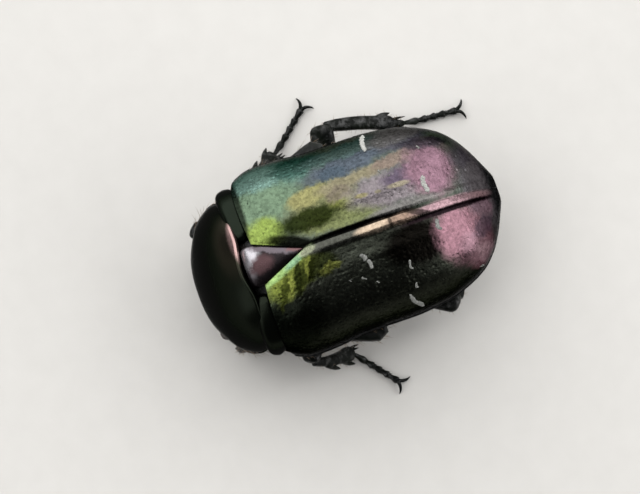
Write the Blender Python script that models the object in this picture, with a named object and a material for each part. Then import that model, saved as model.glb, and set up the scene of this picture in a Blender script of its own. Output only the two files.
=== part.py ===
"""A rose chafer at life size, standing with its head bowed as it feeds.

Sizes are millimetres in the beetle's own frame: +X is its left, -Y its front and +Z up. The tip of the
scutellum lies at x = 0, y = 0, and the floor at z = 0. add_mesh turns millimetres to metres, and
stand_on_origin moves the whole beetle so that the middle of its box stands on the origin.
"""

import math

import bmesh
import bpy
import numpy as np
from mathutils import Matrix, Vector

MM = 0.001
GAP = 0.3

# Driving sizes of the body
ELYTRON_FRONT_Y = -2.55
ELYTRON_APEX_Y = 10.25
ELYTRON_THICKNESS = 0.5
TRUNK_FRONT_Y = -2.9
TRUNK_END_Y = 9.9
ABDOMEN_FRONT_Y = 3.1
ARCH_SIDE_POWER = 2.9
ARCH_TOP_POWER = 2.1
BELLY_SIDE_POWER = 2.3
BELLY_LOW_POWER = 2.0
SIDE_INSET = 0.15
UNDER_WING_DROP = 0.14
ROOM = 0.42

# Half width, midline height, side margin height and belly height of the trunk, as (y, value)
HALF_WIDTH_KNOTS = (
    (-3.1, 3.95), (-2.5, 4.55), (-1.2, 5.0), (0.2, 4.95), (1.5, 4.78), (4.0, 4.8), (6.0, 4.62),
    (7.2, 4.25), (8.3, 3.68), (9.0, 3.0), (9.5, 2.25), (9.95, 1.35), (10.35, 0.45),
)
TOP_KNOTS = (
    (-3.1, 8.3), (-1.0, 8.75), (1.5, 8.9), (4.0, 8.85), (6.0, 8.5),
    (7.5, 7.9), (8.6, 7.1), (9.4, 6.15), (10.0, 5.2), (10.35, 4.55),
)
MARGIN_KNOTS = (
    (-3.1, 5.6), (-1.0, 5.15), (1.4, 5.4), (4.0, 5.1), (7.0, 4.9), (9.0, 4.5), (10.35, 4.2),
)
BELLY_KNOTS = (
    (-3.1, 3.6), (-1.5, 2.9), (0.0, 2.45), (1.5, 2.3), (3.0, 2.45), (6.0, 2.6),
    (8.0, 2.95), (9.2, 3.4), (9.9, 3.8),
)

# Scutellum
SCUTELLUM_TIP_Y = 0.0
SCUTELLUM_SHOULDER_Y = -2.45
SCUTELLUM_BASE_Y = -2.98
SCUTELLUM_HALF_WIDTH = 1.05
SCUTELLUM_THICKNESS = 0.55

# Prothorax: side-view guide curves of its back, margin and belly, as (share of length, y, z)
PRONOTUM_BASE_Y = -3.2
PRONOTUM_BASE_Z = 8.15
PRONOTUM_RADIUS = 6.6
PRONOTUM_BASE_SLOPE = math.radians(34)
PRONOTUM_TURN = math.radians(43)
PRONOTUM_HALF_WIDTH_KNOTS = ((0.0, 3.85), (0.2, 3.95), (0.6, 3.55), (0.85, 2.85), (1.0, 2.3))
PRONOTUM_MARGIN_Y_KNOTS = ((0.0, -3.3), (0.5, -4.35), (1.0, -5.3))
PRONOTUM_MARGIN_Z_KNOTS = ((0.0, 5.3), (0.5, 4.35), (1.0, 3.75))
PROTHORAX_BELLY_Y = (-2.45, -3.3)
PROTHORAX_BELLY_Z = (3.45, 3.4)
PRONOTUM_NOTCH = 0.25
PRONOTUM_NOTCH_HALF_WIDTH = 0.85

# Head, which hangs from the front of the prothorax
HEAD_NECK_Y = -4.7
HEAD_NECK_Z = 3.42
HEAD_PITCH = math.radians(76)
HEAD_LENGTH = 2.75
HEAD_SIDE_POWER = 2.7
HEAD_BACK_KNOTS = ((0.0, 0.5), (0.1, 0.85), (0.3, 1.0), (0.6, 0.72), (1.0, 0.36))
HEAD_THROAT_KNOTS = ((0.0, 0.5), (0.12, 0.75), (0.35, 0.8), (0.7, 0.4), (1.0, 0.0))
HEAD_HALF_WIDTH_KNOTS = ((0.0, 1.0), (0.1, 1.38), (0.25, 1.55), (0.48, 1.25), (0.8, 1.22), (1.0, 1.02))
EYE_RADIUS = 0.46
EYE_ALONG = 0.58
EYE_SIDE = 1.5
ANTENNA_ALONG = 1.38

# Legs: body point of each joint, (x, y, z). The left and right of a pair stand as the photo shows them
LEGS = {
    "front_left": ((1.25, -2.95, 2.55), (3.44, -4.3, 3.1), (2.85, -4.55, 0.72), (0.95, -3.0, 0.25)),
    "front_right": ((-1.25, -2.95, 2.55), (-3.08, -4.85, 3.1), (-2.85, -4.45, 0.72), (-1.05, -2.85, 0.25)),
    "mid_left": ((1.75, 0.2, 1.95), (4.95, -1.56, 2.9), (5.34, 0.48, 0.75), (7.5, 2.25, 0.25)),
    "mid_right": ((-1.75, 0.2, 1.95), (-4.6, -1.9, 2.9), (-5.87, 0.05, 0.75), (-7.75, 2.2, 0.25)),
    "hind_left": ((1.6, 2.75, 1.88), (4.57, 6.3, 2.7), (0.7, 7.8, 0.8), (-1.5, 9.5, 0.25)),
    "hind_right": ((-1.6, 2.75, 1.88), (-5.85, 2.87, 2.9), (-5.2, 7.0, 0.85), (-4.96, 9.95, 0.25)),
}
FEMUR_HALF_WIDTH = {"front": 0.5, "mid": 0.52, "hind": 0.6}
FEMUR_HALF_DEPTH = {"front": 0.36, "mid": 0.36, "hind": 0.36}
KNEE_RADIUS = 0.34
TIBIA_HALF_WIDTHS = {"front": (0.27, 0.5), "mid": (0.26, 0.42), "hind": (0.27, 0.46)}
TIBIA_HALF_DEPTH = 0.27
TIBIA_TEETH = {"front": (0.52, 0.76, 0.98), "mid": (0.58, 0.97), "hind": (0.55, 0.97)}
TOOTH_LENGTH = {"front": 0.42, "mid": 0.3, "hind": 0.3}
SPUR_LENGTH = 0.6
TARSUS_JOINTS = 5
HEEL_ROOM = {"front": 0.32, "mid": 0.33, "hind": 0.36}
TARSUS_NECK_RADIUS = 0.19
TARSUS_END_RADIUS = 0.27
CLAW_LENGTH = 0.75
CLAW_ROOT_RADIUS = 0.16
CLAW_SPREAD = math.radians(34)
FEMUR_START = {"front": 0.84, "mid": 0.86, "hind": 0.86}
COXA_BULB = {
    "front": ((0.64, 0.6, 0.85), (0.0, 0.1, 0.68)),
    "mid": ((0.85, 0.58, 0.6), (0.15, 0.1, 0.98)),
    "hind": ((1.05, 0.56, 0.5), (0.4, -0.2, 1.12)),
}
HIP_RADIUS = 0.36
NECK_RADIUS = 0.52

COLORS = {
    "cuticle": (0.016, 0.018, 0.015),
    "elytra": (0.10, 0.16, 0.07),
    "scutellum": (0.09, 0.065, 0.085),
    "legs": (0.014, 0.014, 0.016),
    "eye": (0.05, 0.025, 0.015),
    "antenna": (0.05, 0.02, 0.012),
}


def clear_scene():
    for obj in list(bpy.data.objects):
        bpy.data.objects.remove(obj)


def material(name, finish):
    """A node's own material: glossy cuticle in that part's colour."""
    made = bpy.data.materials.new(name)
    made.use_nodes = True
    shader = made.node_tree.nodes["Principled BSDF"]
    shader.inputs["Base Color"].default_value = (*COLORS[finish], 1)
    shader.inputs["Roughness"].default_value = 0.3
    shader.inputs["Metallic"].default_value = 0.6 if finish in ("elytra", "scutellum") else 0.1
    return made


def profile(knots):
    """A smooth curve through (position, value) knots that never swings past them."""
    at, value = np.array(knots, float).T
    step = np.diff(value) / np.diff(at)
    slope = np.concatenate([step[:1], np.zeros(len(at) - 2), step[-1:]])
    for i in range(1, len(at) - 1):
        if step[i - 1] * step[i] > 0:
            slope[i] = 2 * step[i - 1] * step[i] / (step[i - 1] + step[i])

    def curve(t):
        t = np.clip(t, at[0], at[-1])
        i = np.clip(np.searchsorted(at, t, side="right") - 1, 0, len(at) - 2)
        width = at[i + 1] - at[i]
        s = (t - at[i]) / width
        rise = value[i + 1] - value[i]
        near = slope[i] * width * s * (1 - s) ** 2
        far = slope[i + 1] * width * s * s * (s - 1)
        return value[i] + rise * s * s * (3 - 2 * s) + near + far

    return curve


half_width = profile(HALF_WIDTH_KNOTS)
top_height = profile(TOP_KNOTS)
margin_height = profile(MARGIN_KNOTS)
belly_height = profile(BELLY_KNOTS)


def arch(turn, side_power, top_power):
    """Sideways and upward shares of a rounded arch, from its top (turn 0) to its foot (turn 1)."""
    angle = np.clip(turn, 0, 1) * math.pi / 2
    return np.sin(angle) ** (2 / side_power), np.cos(angle) ** (2 / top_power)


def hump(distance, width):
    """1 at distance 0, falling smoothly to 0 at width."""
    return np.clip(1 - (distance / width) ** 2, 0, 1) ** 2


def rise(low, high, t):
    s = np.clip((t - low) / (high - low), 0, 1)
    return s * s * (3 - 2 * s)


def add_mesh(name, points, faces, finish):
    """An object with this closed mesh, its points given in millimetres."""
    mesh = bpy.data.meshes.new(name)
    mesh.from_pydata([tuple(float(c) * MM for c in p) for p in points], [], faces)
    work = bmesh.new()
    work.from_mesh(mesh)
    bmesh.ops.recalc_face_normals(work, faces=work.faces)
    if work.calc_volume(signed=True) < 0:
        bmesh.ops.reverse_faces(work, faces=work.faces)
    bmesh.ops.triangulate(work, faces=[f for f in work.faces if len(f.verts) > 4])
    work.to_mesh(mesh)
    work.free()
    mesh.shade_smooth()
    mesh.set_sharp_from_angle(angle=math.radians(40))
    mesh.materials.append(material(name, finish))
    obj = bpy.data.objects.new(name, mesh)
    bpy.context.scene.collection.objects.link(obj)
    return obj


def loft(rings):
    """Points and faces of the closed skin over rings of equal length, with a flat cap on each end."""
    count = len(rings[0])
    points = [p for ring in rings for p in ring]
    faces = []
    for i in range(len(rings) - 1):
        for j in range(count):
            k = (j + 1) % count
            low, high = i * count, (i + 1) * count
            faces.append((low + j, low + k, high + k, high + j))
    faces.append(tuple(range(count))[::-1])
    last = (len(rings) - 1) * count
    faces.append(tuple(range(last, last + count)))
    return points, faces


def tube(stations, side, sides):
    """A limb along stations of (centre, half width, half depth). side is the direction of its width."""
    centres = [Vector(s[0]) for s in stations]
    rings = []
    for i, (_, wide, deep) in enumerate(stations):
        along = (centres[min(i + 1, len(centres) - 1)] - centres[max(i - 1, 0)]).normalized()
        across = (Vector(side) - along * along.dot(Vector(side))).normalized()
        up = along.cross(across)
        turns = [2 * math.pi * (j + 0.5) / sides for j in range(sides)]
        rings.append([centres[i] + across * wide * math.cos(t) + up * deep * math.sin(t) for t in turns])
    return loft(rings)


def shape_of(work):
    """Points and faces of a finished bmesh, which is freed."""
    work.verts.index_update()
    points = [tuple(v.co) for v in work.verts]
    faces = [tuple(v.index for v in f.verts) for f in work.faces]
    work.free()
    return points, faces


def ball(centre, radius, rows=7, sides=12):
    work = bmesh.new()
    place = Matrix.Translation(centre)
    bmesh.ops.create_uvsphere(work, u_segments=sides, v_segments=rows, radius=radius, matrix=place)
    return shape_of(work)


def apply_boolean(obj, others, operation):
    """Joins or cuts obj with the other objects, which are then removed."""
    pieces = bpy.data.collections.new("pieces")
    bpy.context.scene.collection.children.link(pieces)
    for other in others:
        pieces.objects.link(other)
    change = obj.modifiers.new(operation, "BOOLEAN")
    change.operation = operation
    change.operand_type = "COLLECTION"
    change.collection = pieces
    change.solver = "EXACT"
    graph = bpy.context.evaluated_depsgraph_get()
    made = bpy.data.meshes.new_from_object(obj.evaluated_get(graph))
    obj.modifiers.clear()
    obj.data = made
    for other in others:
        bpy.data.objects.remove(other)
    bpy.data.collections.remove(pieces)
    keep_largest(obj)
    return obj


def keep_largest(obj):
    """Drops every closed surface of a node but the largest."""
    work = bmesh.new()
    work.from_mesh(obj.data)
    work.faces.ensure_lookup_table()
    left = set(work.faces)
    groups = []
    while left:
        group, edge = set(), [left.pop()]
        while edge:
            face = edge.pop()
            group.add(face)
            for link in (f for e in face.edges for f in e.link_faces if f in left):
                left.discard(link)
                edge.append(link)
        groups.append(group)
    groups.sort(key=lambda g: sum(f.calc_area() for f in g))
    bmesh.ops.delete(work, geom=[f for g in groups[:-1] for f in g], context="FACES")
    loose = [v for v in work.verts if not v.link_faces]
    bmesh.ops.delete(work, geom=loose, context="VERTS")
    work.to_mesh(obj.data)
    work.free()


def fuse(name, pieces, finish):
    """One node from (points, faces) pieces that overlap."""
    obj = add_mesh(name, *pieces[0], finish)
    if len(pieces) > 1:
        others = [add_mesh(f"{name}_piece", *piece, finish) for piece in pieces[1:]]
        apply_boolean(obj, others, "UNION")
    return obj


def mirrored(name, source):
    """A node that mirrors another across the beetle's midline."""
    obj = bpy.data.objects.new(name, source.data.copy())
    bpy.context.scene.collection.objects.link(obj)
    obj.data.transform(Matrix.Scale(-1, 4, (1, 0, 0)))
    obj.data.flip_normals()
    return obj


def box_between(low, high):
    """An upright box between two corners."""
    work = bmesh.new()
    low, high = Vector(low), Vector(high)
    size = Matrix.Diagonal((*(high - low), 1))
    bmesh.ops.create_cube(work, size=1, matrix=Matrix.Translation((low + high) / 2) @ size)
    return shape_of(work)


# The wing cases: two shells that meet along the suture

SUTURE_RIDGE = 0.16
SUTURE_RIDGE_WIDTH = 0.5
RIB_HEIGHT = 0.1
RIB_WIDTH = 0.36
INNER_RIB_X = 1.4
OUTER_RIB_X = 2.65
IMPRESSION_DEPTH = 0.16
SHOULDER_KNOB = (3.3, -1.2, 1.2, 0.16)
APEX_KNOB = (2.3, 7.95, 1.1, 0.22)
ELYTRON_COLUMNS = 17
ELYTRON_ROWS = 27


def relief(x, y):
    """How far the wing case stands out of its plain arch: ridges, ribs, knobs and the long hollow."""
    x = np.abs(x)
    ridge = SUTURE_RIDGE * hump(x, SUTURE_RIDGE_WIDTH) * rise(1.0, 4.5, y) * (1 - rise(8.8, 9.6, y))
    inner = RIB_HEIGHT * hump(x - INNER_RIB_X, RIB_WIDTH) * rise(1.5, 3.0, y) * (1 - rise(6.2, 7.4, y))
    outer = RIB_HEIGHT * hump(x - OUTER_RIB_X, RIB_WIDTH) * rise(0.8, 2.4, y) * (1 - rise(7.0, 8.2, y))
    hollow = IMPRESSION_DEPTH * hump(x - 0.95, 0.75) * rise(0.2, 3.0, y) * (1 - rise(6.8, 8.4, y))
    made = ridge + inner + outer - hollow
    for knob_x, knob_y, reach, height in (SHOULDER_KNOB, APEX_KNOB):
        made = made + height * hump(np.hypot(x - knob_x, y - knob_y), reach)
    return made


def inner_edge(y):
    """Half the gap that a wing case keeps to the midline: the suture, or the scutellum's side."""
    flank = SCUTELLUM_HALF_WIDTH * (SCUTELLUM_TIP_Y - y) / (SCUTELLUM_TIP_Y - SCUTELLUM_SHOULDER_Y)
    lean = math.hypot(1, SCUTELLUM_HALF_WIDTH / (SCUTELLUM_TIP_Y - SCUTELLUM_SHOULDER_Y))
    return np.maximum(GAP / 2, flank + GAP * lean)


def elytron_grid(side, inset):
    """Rows of points over a wing case, from its front edge to its tip, set in by inset."""
    rows = []
    last = ELYTRON_APEX_Y - inset
    for i in range(ELYTRON_ROWS):
        share = math.sin(math.pi / 2 * i / (ELYTRON_ROWS - 1)) ** 1.15
        row = []
        for j in range(ELYTRON_COLUMNS):
            across = j / (ELYTRON_COLUMNS - 1)
            bow = 0.3 * (1 - share) ** 3 * (abs(across - 0.4) / 0.6) ** 2
            y = ELYTRON_FRONT_Y + (last - ELYTRON_FRONT_Y) * share
            wide, high = half_width(y + bow) - inset, top_height(y + bow) - inset
            foot = margin_height(y + bow)
            start = (inner_edge(y + bow) / wide) ** (ARCH_SIDE_POWER / 2)
            first = math.asin(min(start, 1)) * 2 / math.pi
            sideways, upward = arch(first + (1 - first) * across ** 1.1, ARCH_SIDE_POWER, ARCH_TOP_POWER)
            x = wide * sideways
            z = foot + (high - foot) * upward
            z += relief(x, y + bow) * upward
            row.append((side * x, y + bow, z))
        rows.append(row)
    return rows


def make_elytron(name, side):
    outer, inner = elytron_grid(side, 0), elytron_grid(side, ELYTRON_THICKNESS)
    rings = [row + under[::-1] for row, under in zip(outer, inner)]
    return add_mesh(name, *loft(rings), "elytra")


# The trunk under the wing cases: thorax, abdomen and pygidium are lengths of it

STERNITES = 6
STERNITE_STEP = 0.12
PYGIDIUM_CUT = ((8.95, 5.2), (8.35, 2.4))
KNOB_CENTRE = (0, -0.95, 2.35)
KNOB_RADIUS = 0.55
FLANGE_Y = (0.65, 2.5)
FLANGE_X = (5.0, 5.4)
FLANGE_THICKNESS = 0.62
UPPER_STEPS = 6
LOWER_STEPS = 6


def trunk_ring(y, shrink):
    """One closed section of the trunk at y. shrink draws the belly in, between sternites."""
    wide, high, foot = half_width(y), top_height(y), margin_height(y)
    low = belly_height(y) + shrink
    inner = ELYTRON_THICKNESS + GAP + UNDER_WING_DROP
    ledge = foot - GAP
    half = []
    for j in range(UPPER_STEPS + 1):
        sideways, upward = arch(j / UPPER_STEPS, ARCH_SIDE_POWER, ARCH_TOP_POWER)
        half.append(((wide - inner) * sideways, ledge + (high - inner - ledge) * upward))
    for j in range(LOWER_STEPS + 1):
        sideways, downward = arch(1 - j / LOWER_STEPS, BELLY_SIDE_POWER, BELLY_LOW_POWER)
        half.append(((wide - SIDE_INSET - shrink) * sideways, ledge - (ledge - low) * downward))
    left = [(x, y, z) for x, z in half]
    right = [(-x, y, z) for x, z in half[1:-1]]
    return left + right[::-1]


def trunk_stations():
    """(y, shrink) of each section, with a small step at the back of each sternite."""
    stations = [(y, 0) for y in np.linspace(TRUNK_FRONT_Y, ABDOMEN_FRONT_Y, 9)]
    length = (TRUNK_END_Y - ABDOMEN_FRONT_Y) / STERNITES
    for i in range(STERNITES):
        front = ABDOMEN_FRONT_Y + i * length
        stations += [(front + 0.1, STERNITE_STEP), (front + 0.55 * length, STERNITE_STEP / 2)]
        stations.append((front + length, 0))
    return stations


def make_trunk(name, finish="cuticle"):
    return add_mesh(name, *loft([trunk_ring(y, shrink) for y, shrink in trunk_stations()]), finish)


def coxa_rooms():
    """The sockets that the roots of the legs sit in, clear of them by the gap."""
    rooms = []
    for name, (hip, _, _, _) in LEGS.items():
        side = 1 if hip[0] > 0 else -1
        for shape in coxa_shapes(name.split("_")[0], side, hip, GAP):
            rooms.append(add_mesh("socket", *shape, "cuticle"))
    return rooms


def slab_behind(offset, side):
    """A block behind (side 1) or before (side -1) the slanting cut that parts the pygidium off."""
    (top_y, top_z), (low_y, low_z) = PYGIDIUM_CUT
    lean = Vector((0, top_y - low_y, top_z - low_z)).normalized()
    back = Vector((0, lean.z, -lean.y)) * side
    centre = Vector((0, top_y, top_z)) + back * (offset + 12)
    turn = Matrix((Vector((side, 0, 0)), back, lean)).transposed().to_4x4()
    work = bmesh.new()
    size = Matrix.Diagonal((18, 24, 24, 1))
    bmesh.ops.create_cube(work, size=1, matrix=Matrix.Translation(centre) @ turn @ size)
    return shape_of(work)


def flange(side):
    """The outer corner of the hind breast, which shows under the hollow of the wing case's edge."""
    (near_y, far_y), (near_x, far_x) = FLANGE_Y, FLANGE_X
    high = margin_height(far_y) - GAP - 0.05
    rings = []
    for share, inset in ((0, 0.3), (0.25, 0.08), (0.7, 0), (0.92, 0.06), (1, 0.2)):
        z = high - FLANGE_THICKNESS * (1 - share)
        edge = ((2.6, near_y - 0.6), (near_x - 0.35 - inset, near_y - 0.45 + inset), (near_x - inset, near_y + inset))
        edge += ((far_x - inset, far_y - 0.3), (far_x - inset - 0.15, far_y - inset / 2), (2.6, far_y))
        rings.append([(side * x, y, z) for x, y in edge])
    return loft(rings)


def make_thorax(prothorax_room, scutellum_room):
    thorax = make_trunk("thorax")
    pieces = [ball(KNOB_CENTRE, KNOB_RADIUS), flange(1), flange(-1)]
    apply_boolean(thorax, [add_mesh("piece", *piece, "cuticle") for piece in pieces], "UNION")
    cut = add_mesh("cut", *box_between((-9, ABDOMEN_FRONT_Y - GAP, -3), (9, 14, 12)), "cuticle")
    return apply_boolean(thorax, [cut, prothorax_room, scutellum_room] + coxa_rooms(), "DIFFERENCE")


def make_abdomen():
    abdomen = make_trunk("abdomen")
    front = add_mesh("cut", *box_between((-9, -9, -3), (9, ABDOMEN_FRONT_Y, 12)), "cuticle")
    back = add_mesh("cut", *slab_behind(-GAP / 2, 1), "cuticle")
    return apply_boolean(abdomen, [front, back] + coxa_rooms(), "DIFFERENCE")


def make_pygidium():
    pygidium = make_trunk("pygidium")
    front = add_mesh("cut", *slab_behind(-GAP / 2, -1), "cuticle")
    return apply_boolean(pygidium, [front], "DIFFERENCE")


# Scutellum: the shield between the roots of the wing cases

SCUTELLUM_BASE_HALF_WIDTH = 0.72
SCUTELLUM_DROP = 0.4


def scutellum_rings(grow):
    """Sections from the sloping base to the tip. grow swells it, for the room that it keeps clear."""
    stations = (
        (SCUTELLUM_BASE_Y - grow, SCUTELLUM_BASE_HALF_WIDTH, SCUTELLUM_DROP),
        (SCUTELLUM_BASE_Y + 0.25, 0.92, 0.16),
        (SCUTELLUM_SHOULDER_Y, SCUTELLUM_HALF_WIDTH, 0.02),
        (SCUTELLUM_SHOULDER_Y / 2, SCUTELLUM_HALF_WIDTH / 2, 0),
        (SCUTELLUM_TIP_Y - 0.15 + grow, 0.11, 0.05),
    )
    rings = []
    for y, wide, drop in stations:
        high = top_height(y) - drop
        low = top_height(y) - SCUTELLUM_THICKNESS - drop / 2 - grow
        half = wide + grow * 1.1
        crown = [(half * t, y, high + grow - 0.14 * wide * t * t) for t in (-1, -0.5, 0, 0.5, 1)]
        rings.append(crown + [(half, y, low), (0, y, low), (-half, y, low)])
    return rings


def make_scutellum():
    return add_mesh("scutellum", *loft(scutellum_rings(0)), "scutellum")


# Prothorax, bowed well down

PROTHORAX_ROWS = 11
PROTHORAX_COLUMNS = 9
PRONOTUM_SIDE_POWER = 2.4
PRONOTUM_TOP_POWER = 1.9
PROTHORAX_LOW_POWER = 1.55
pronotum_half_width = profile(PRONOTUM_HALF_WIDTH_KNOTS)
pronotum_margin_y = profile(PRONOTUM_MARGIN_Y_KNOTS)
pronotum_margin_z = profile(PRONOTUM_MARGIN_Z_KNOTS)


def prothorax_ring(share, grow):
    """A closed section: over the back from margin to margin, then under the breast."""
    slope = PRONOTUM_BASE_SLOPE + PRONOTUM_TURN * share
    back_y = PRONOTUM_BASE_Y - PRONOTUM_RADIUS * (math.sin(slope) - math.sin(PRONOTUM_BASE_SLOPE))
    back_z = PRONOTUM_BASE_Z - PRONOTUM_RADIUS * (math.cos(PRONOTUM_BASE_SLOPE) - math.cos(slope))
    margin = (float(pronotum_margin_y(share)), float(pronotum_margin_z(share)))
    belly = [low + (high - low) * share for low, high in (PROTHORAX_BELLY_Y, PROTHORAX_BELLY_Z)]
    wide = float(pronotum_half_width(share)) + grow
    back_y, back_z = back_y - grow * math.sin(slope), back_z + grow * math.cos(slope)
    belly[1] -= grow
    ring = []
    for j in range(2 * PROTHORAX_COLUMNS):
        turn = j / PROTHORAX_COLUMNS * 2 - 1
        sideways, upward = arch(abs(turn), PRONOTUM_SIDE_POWER, PRONOTUM_TOP_POWER)
        tip = (back_y, back_z)
        if j >= PROTHORAX_COLUMNS:
            turn = 1 - (j - PROTHORAX_COLUMNS) / PROTHORAX_COLUMNS * 2
            sideways, upward = arch(abs(turn), PROTHORAX_LOW_POWER, PROTHORAX_LOW_POWER)
            tip = belly
        x = wide * sideways * (1 if turn > 0 else -1)
        y = margin[0] + (tip[0] - margin[0]) * upward
        z = margin[1] + (tip[1] - margin[1]) * upward
        notch = PRONOTUM_NOTCH * hump(x, 2 * PRONOTUM_NOTCH_HALF_WIDTH) * (1 - share) ** 6
        above = j < PROTHORAX_COLUMNS
        ring.append((x, y - (notch if above else 0) + (grow if share == 0 else 0), z))
    return ring


def prothorax_loft(grow):
    return loft([prothorax_ring(i / (PROTHORAX_ROWS - 1), grow) for i in range(PROTHORAX_ROWS)])


# Head, eyes, feelers and mouth

head_back = profile(HEAD_BACK_KNOTS)
head_throat = profile(HEAD_THROAT_KNOTS)
head_half_width = profile(HEAD_HALF_WIDTH_KNOTS)
HEAD_ROWS = 15
HEAD_COLUMNS = 20
CLYPEUS_RIM = 0.1
CLYPEUS_NOTCH = 0.14
FROWN_RIDGE = 0.1


def head_point(x, along, out):
    """A point of the head: sideways, down its length from the neck, and out of its front."""
    down = Vector((0, -math.cos(HEAD_PITCH), -math.sin(HEAD_PITCH)))
    front = Vector((0, -math.sin(HEAD_PITCH), math.cos(HEAD_PITCH)))
    spot = Vector((x, HEAD_NECK_Y, HEAD_NECK_Z)) + down * along + front * out
    return tuple(spot)


def head_ring(share):
    wide, back, throat = (float(f(share)) for f in (head_half_width, head_back, head_throat))
    ring = []
    for j in range(HEAD_COLUMNS):
        turn = 2 * math.pi * (j + 0.5) / HEAD_COLUMNS
        c, s = math.cos(turn), math.sin(turn)
        x = wide * math.copysign(abs(c) ** (2 / HEAD_SIDE_POWER), c)
        out = math.copysign(abs(s) ** (2 / HEAD_SIDE_POWER), s)
        out *= back if s > 0 else throat
        if s > 0:
            out += CLYPEUS_RIM * rise(0.6, 1.0, share) * rise(0.7, 1.0, abs(x) / wide)
            out += CLYPEUS_RIM * rise(0.85, 1.0, share)
            out += FROWN_RIDGE * hump(x, 0.4) * rise(0.1, 0.3, share) * (1 - rise(0.45, 0.75, share))
        along = HEAD_LENGTH * share - CLYPEUS_NOTCH * hump(x, 0.7) * rise(0.8, 1.0, share)
        ring.append(head_point(x, along, out))
    return ring


def eye_centre(side):
    return head_point(side * EYE_SIDE, EYE_ALONG, 0.15)


def make_head():
    capsule = loft([head_ring(i / (HEAD_ROWS - 1)) for i in range(HEAD_ROWS)])
    head = add_mesh("head", *capsule, "cuticle")
    sockets = [ball(eye_centre(side), EYE_RADIUS + GAP) for side in (1, -1)]
    return apply_boolean(head, [add_mesh("socket", *s, "cuticle") for s in sockets], "DIFFERENCE")


def make_eye(name, side):
    return add_mesh(name, *ball(eye_centre(side), EYE_RADIUS, rows=8, sides=14), "eye")


CLUB_LENGTH = 1.1
LAMELLA_THICKNESS = 0.15
LAMELLA_SPREAD = math.radians(19)


def make_antenna(name, side):
    """Scape, beaded funicle and a club of three leaves that fan from one root."""
    root = Vector(head_point(side * 1.22, ANTENNA_ALONG, -0.3)) + Vector((side * (GAP + 0.2), 0, 0))
    elbow = root + Vector((side * 0.4, -0.35, -0.1))
    tip = elbow + Vector((side * 0.1, -0.35, -0.5))
    stations = [(root, 0.2, 0.2), (root.lerp(elbow, 0.7), 0.25, 0.25)]
    for share, radius in ((0.3, 0.25), (0.62, 0.21), (1.0, 0.24)):
        stations.append((elbow.lerp(tip, share), radius, radius))
    pieces = [tube(stations, (0, 1, 0), 8)]
    lie = Vector((side * 0.1, 0.1, -0.99)).normalized()
    face = Vector((side * 0.99, 0, 0.1)).normalized()
    for i in (-1, 0, 1):
        turn = Matrix.Rotation(i * LAMELLA_SPREAD, 3, face.cross(lie))
        along, thin = turn @ lie, turn @ face
        start = tip - along * (0.15 + 0.03 * i) + face * 0.13 * i
        leaf = [(0, 0.16 + 0.01 * i), (0.35, 0.32), (0.7, 0.3), (1, 0.14)]
        leaves = [(start + along * (CLUB_LENGTH + 0.2) * s, wide, LAMELLA_THICKNESS) for s, wide in leaf]
        pieces.append(tube(leaves, thin.cross(along), 8))
    return fuse(name, pieces, "antenna")


MENTUM = ((1.0, -0.35, 0.62, 0.4), (1.7, -0.32, 0.55, 0.36), (2.25, -0.1, 0.42, 0.24))
THROAT_GAP = 0.42


def make_mouth():
    """The plate of the lower lip, under the head."""
    stations = []
    for along, out, wide, deep in MENTUM:
        throat = float(head_throat(along / HEAD_LENGTH))
        stations.append((head_point(0, along, -throat - THROAT_GAP - deep * 0.7), wide, deep))
    return add_mesh("lower_lip", *tube(stations, (1, 0, 0), 12), "cuticle")


def make_palp(name, side):
    """The maxillary palp, a short feeler beside the mouth."""
    path = ((0.95, 1.9, -0.85), (1.15, 2.3, -0.98), (1.3, 2.7, -0.8))
    stations = [(head_point(side * x, along, out), 0.25, 0.25) for x, along, out in path]
    stations.append((head_point(side * 1.32, 2.9, -0.62), 0.12, 0.12))
    return add_mesh(name, *tube(stations, (0, 1, 0), 8), "antenna")


# Legs

FEMUR_SHAPE = (
    (0.0, 0.38, 0.5), (0.05, 0.6, 0.75), (0.16, 0.84, 0.92), (0.42, 1.0, 1.0), (0.75, 0.82, 0.9), (0.93, 0.62, 0.85),
)
def toward(start, end, distance):
    step = (Vector(end) - Vector(start)).normalized()
    return Vector(start) + step * distance


def coxa_shapes(kind, side, hip, grow):
    """The pieces of a leg's root: the bulb sunk in the breast, a short neck and the round hip."""
    radii, (out, back, up) = COXA_BULB[kind]
    middle = Vector(hip) + Vector((side * out, back, up))
    work = bmesh.new()
    size = Matrix.Diagonal((*(r + grow for r in radii), 1))
    place = Matrix.Translation(middle) @ size
    bmesh.ops.create_uvsphere(work, u_segments=16, v_segments=9, radius=1, matrix=place)
    wide, slim = NECK_RADIUS + grow, HIP_RADIUS * 0.95 + grow
    down = tube([(middle, wide, wide), (Vector(hip), slim, slim)], (1, 0, 0), 12)
    return [shape_of(work), down, ball(hip, HIP_RADIUS + grow, rows=7, sides=12)]


def make_femur(name, kind, hip, knee):
    start = toward(hip, knee, FEMUR_START[kind])
    end = Vector(knee)
    wide, deep = FEMUR_HALF_WIDTH[kind], FEMUR_HALF_DEPTH[kind]
    stations = [(start.lerp(end, t), wide * w, deep * d) for t, w, d in FEMUR_SHAPE]
    stations.append((toward(end, start, -0.05), KNEE_RADIUS * 0.8, KNEE_RADIUS * 0.8))
    along = (end - start).normalized()
    return fuse(
        name,
        [tube(stations, along.cross(Vector((0, 0, 1))), 12), ball(knee, KNEE_RADIUS, rows=6, sides=10)],
        "legs",
    )


def tibia_frame(knee, ankle):
    """Start, end, and the outward direction across the blade of a shin."""
    start = toward(knee, ankle, KNEE_RADIUS + GAP + 0.12)
    end = Vector(ankle)
    along = (end - start).normalized()
    flat = along.cross(Vector((0, 0, 1))).normalized()
    return start, end, along, flat


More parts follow.
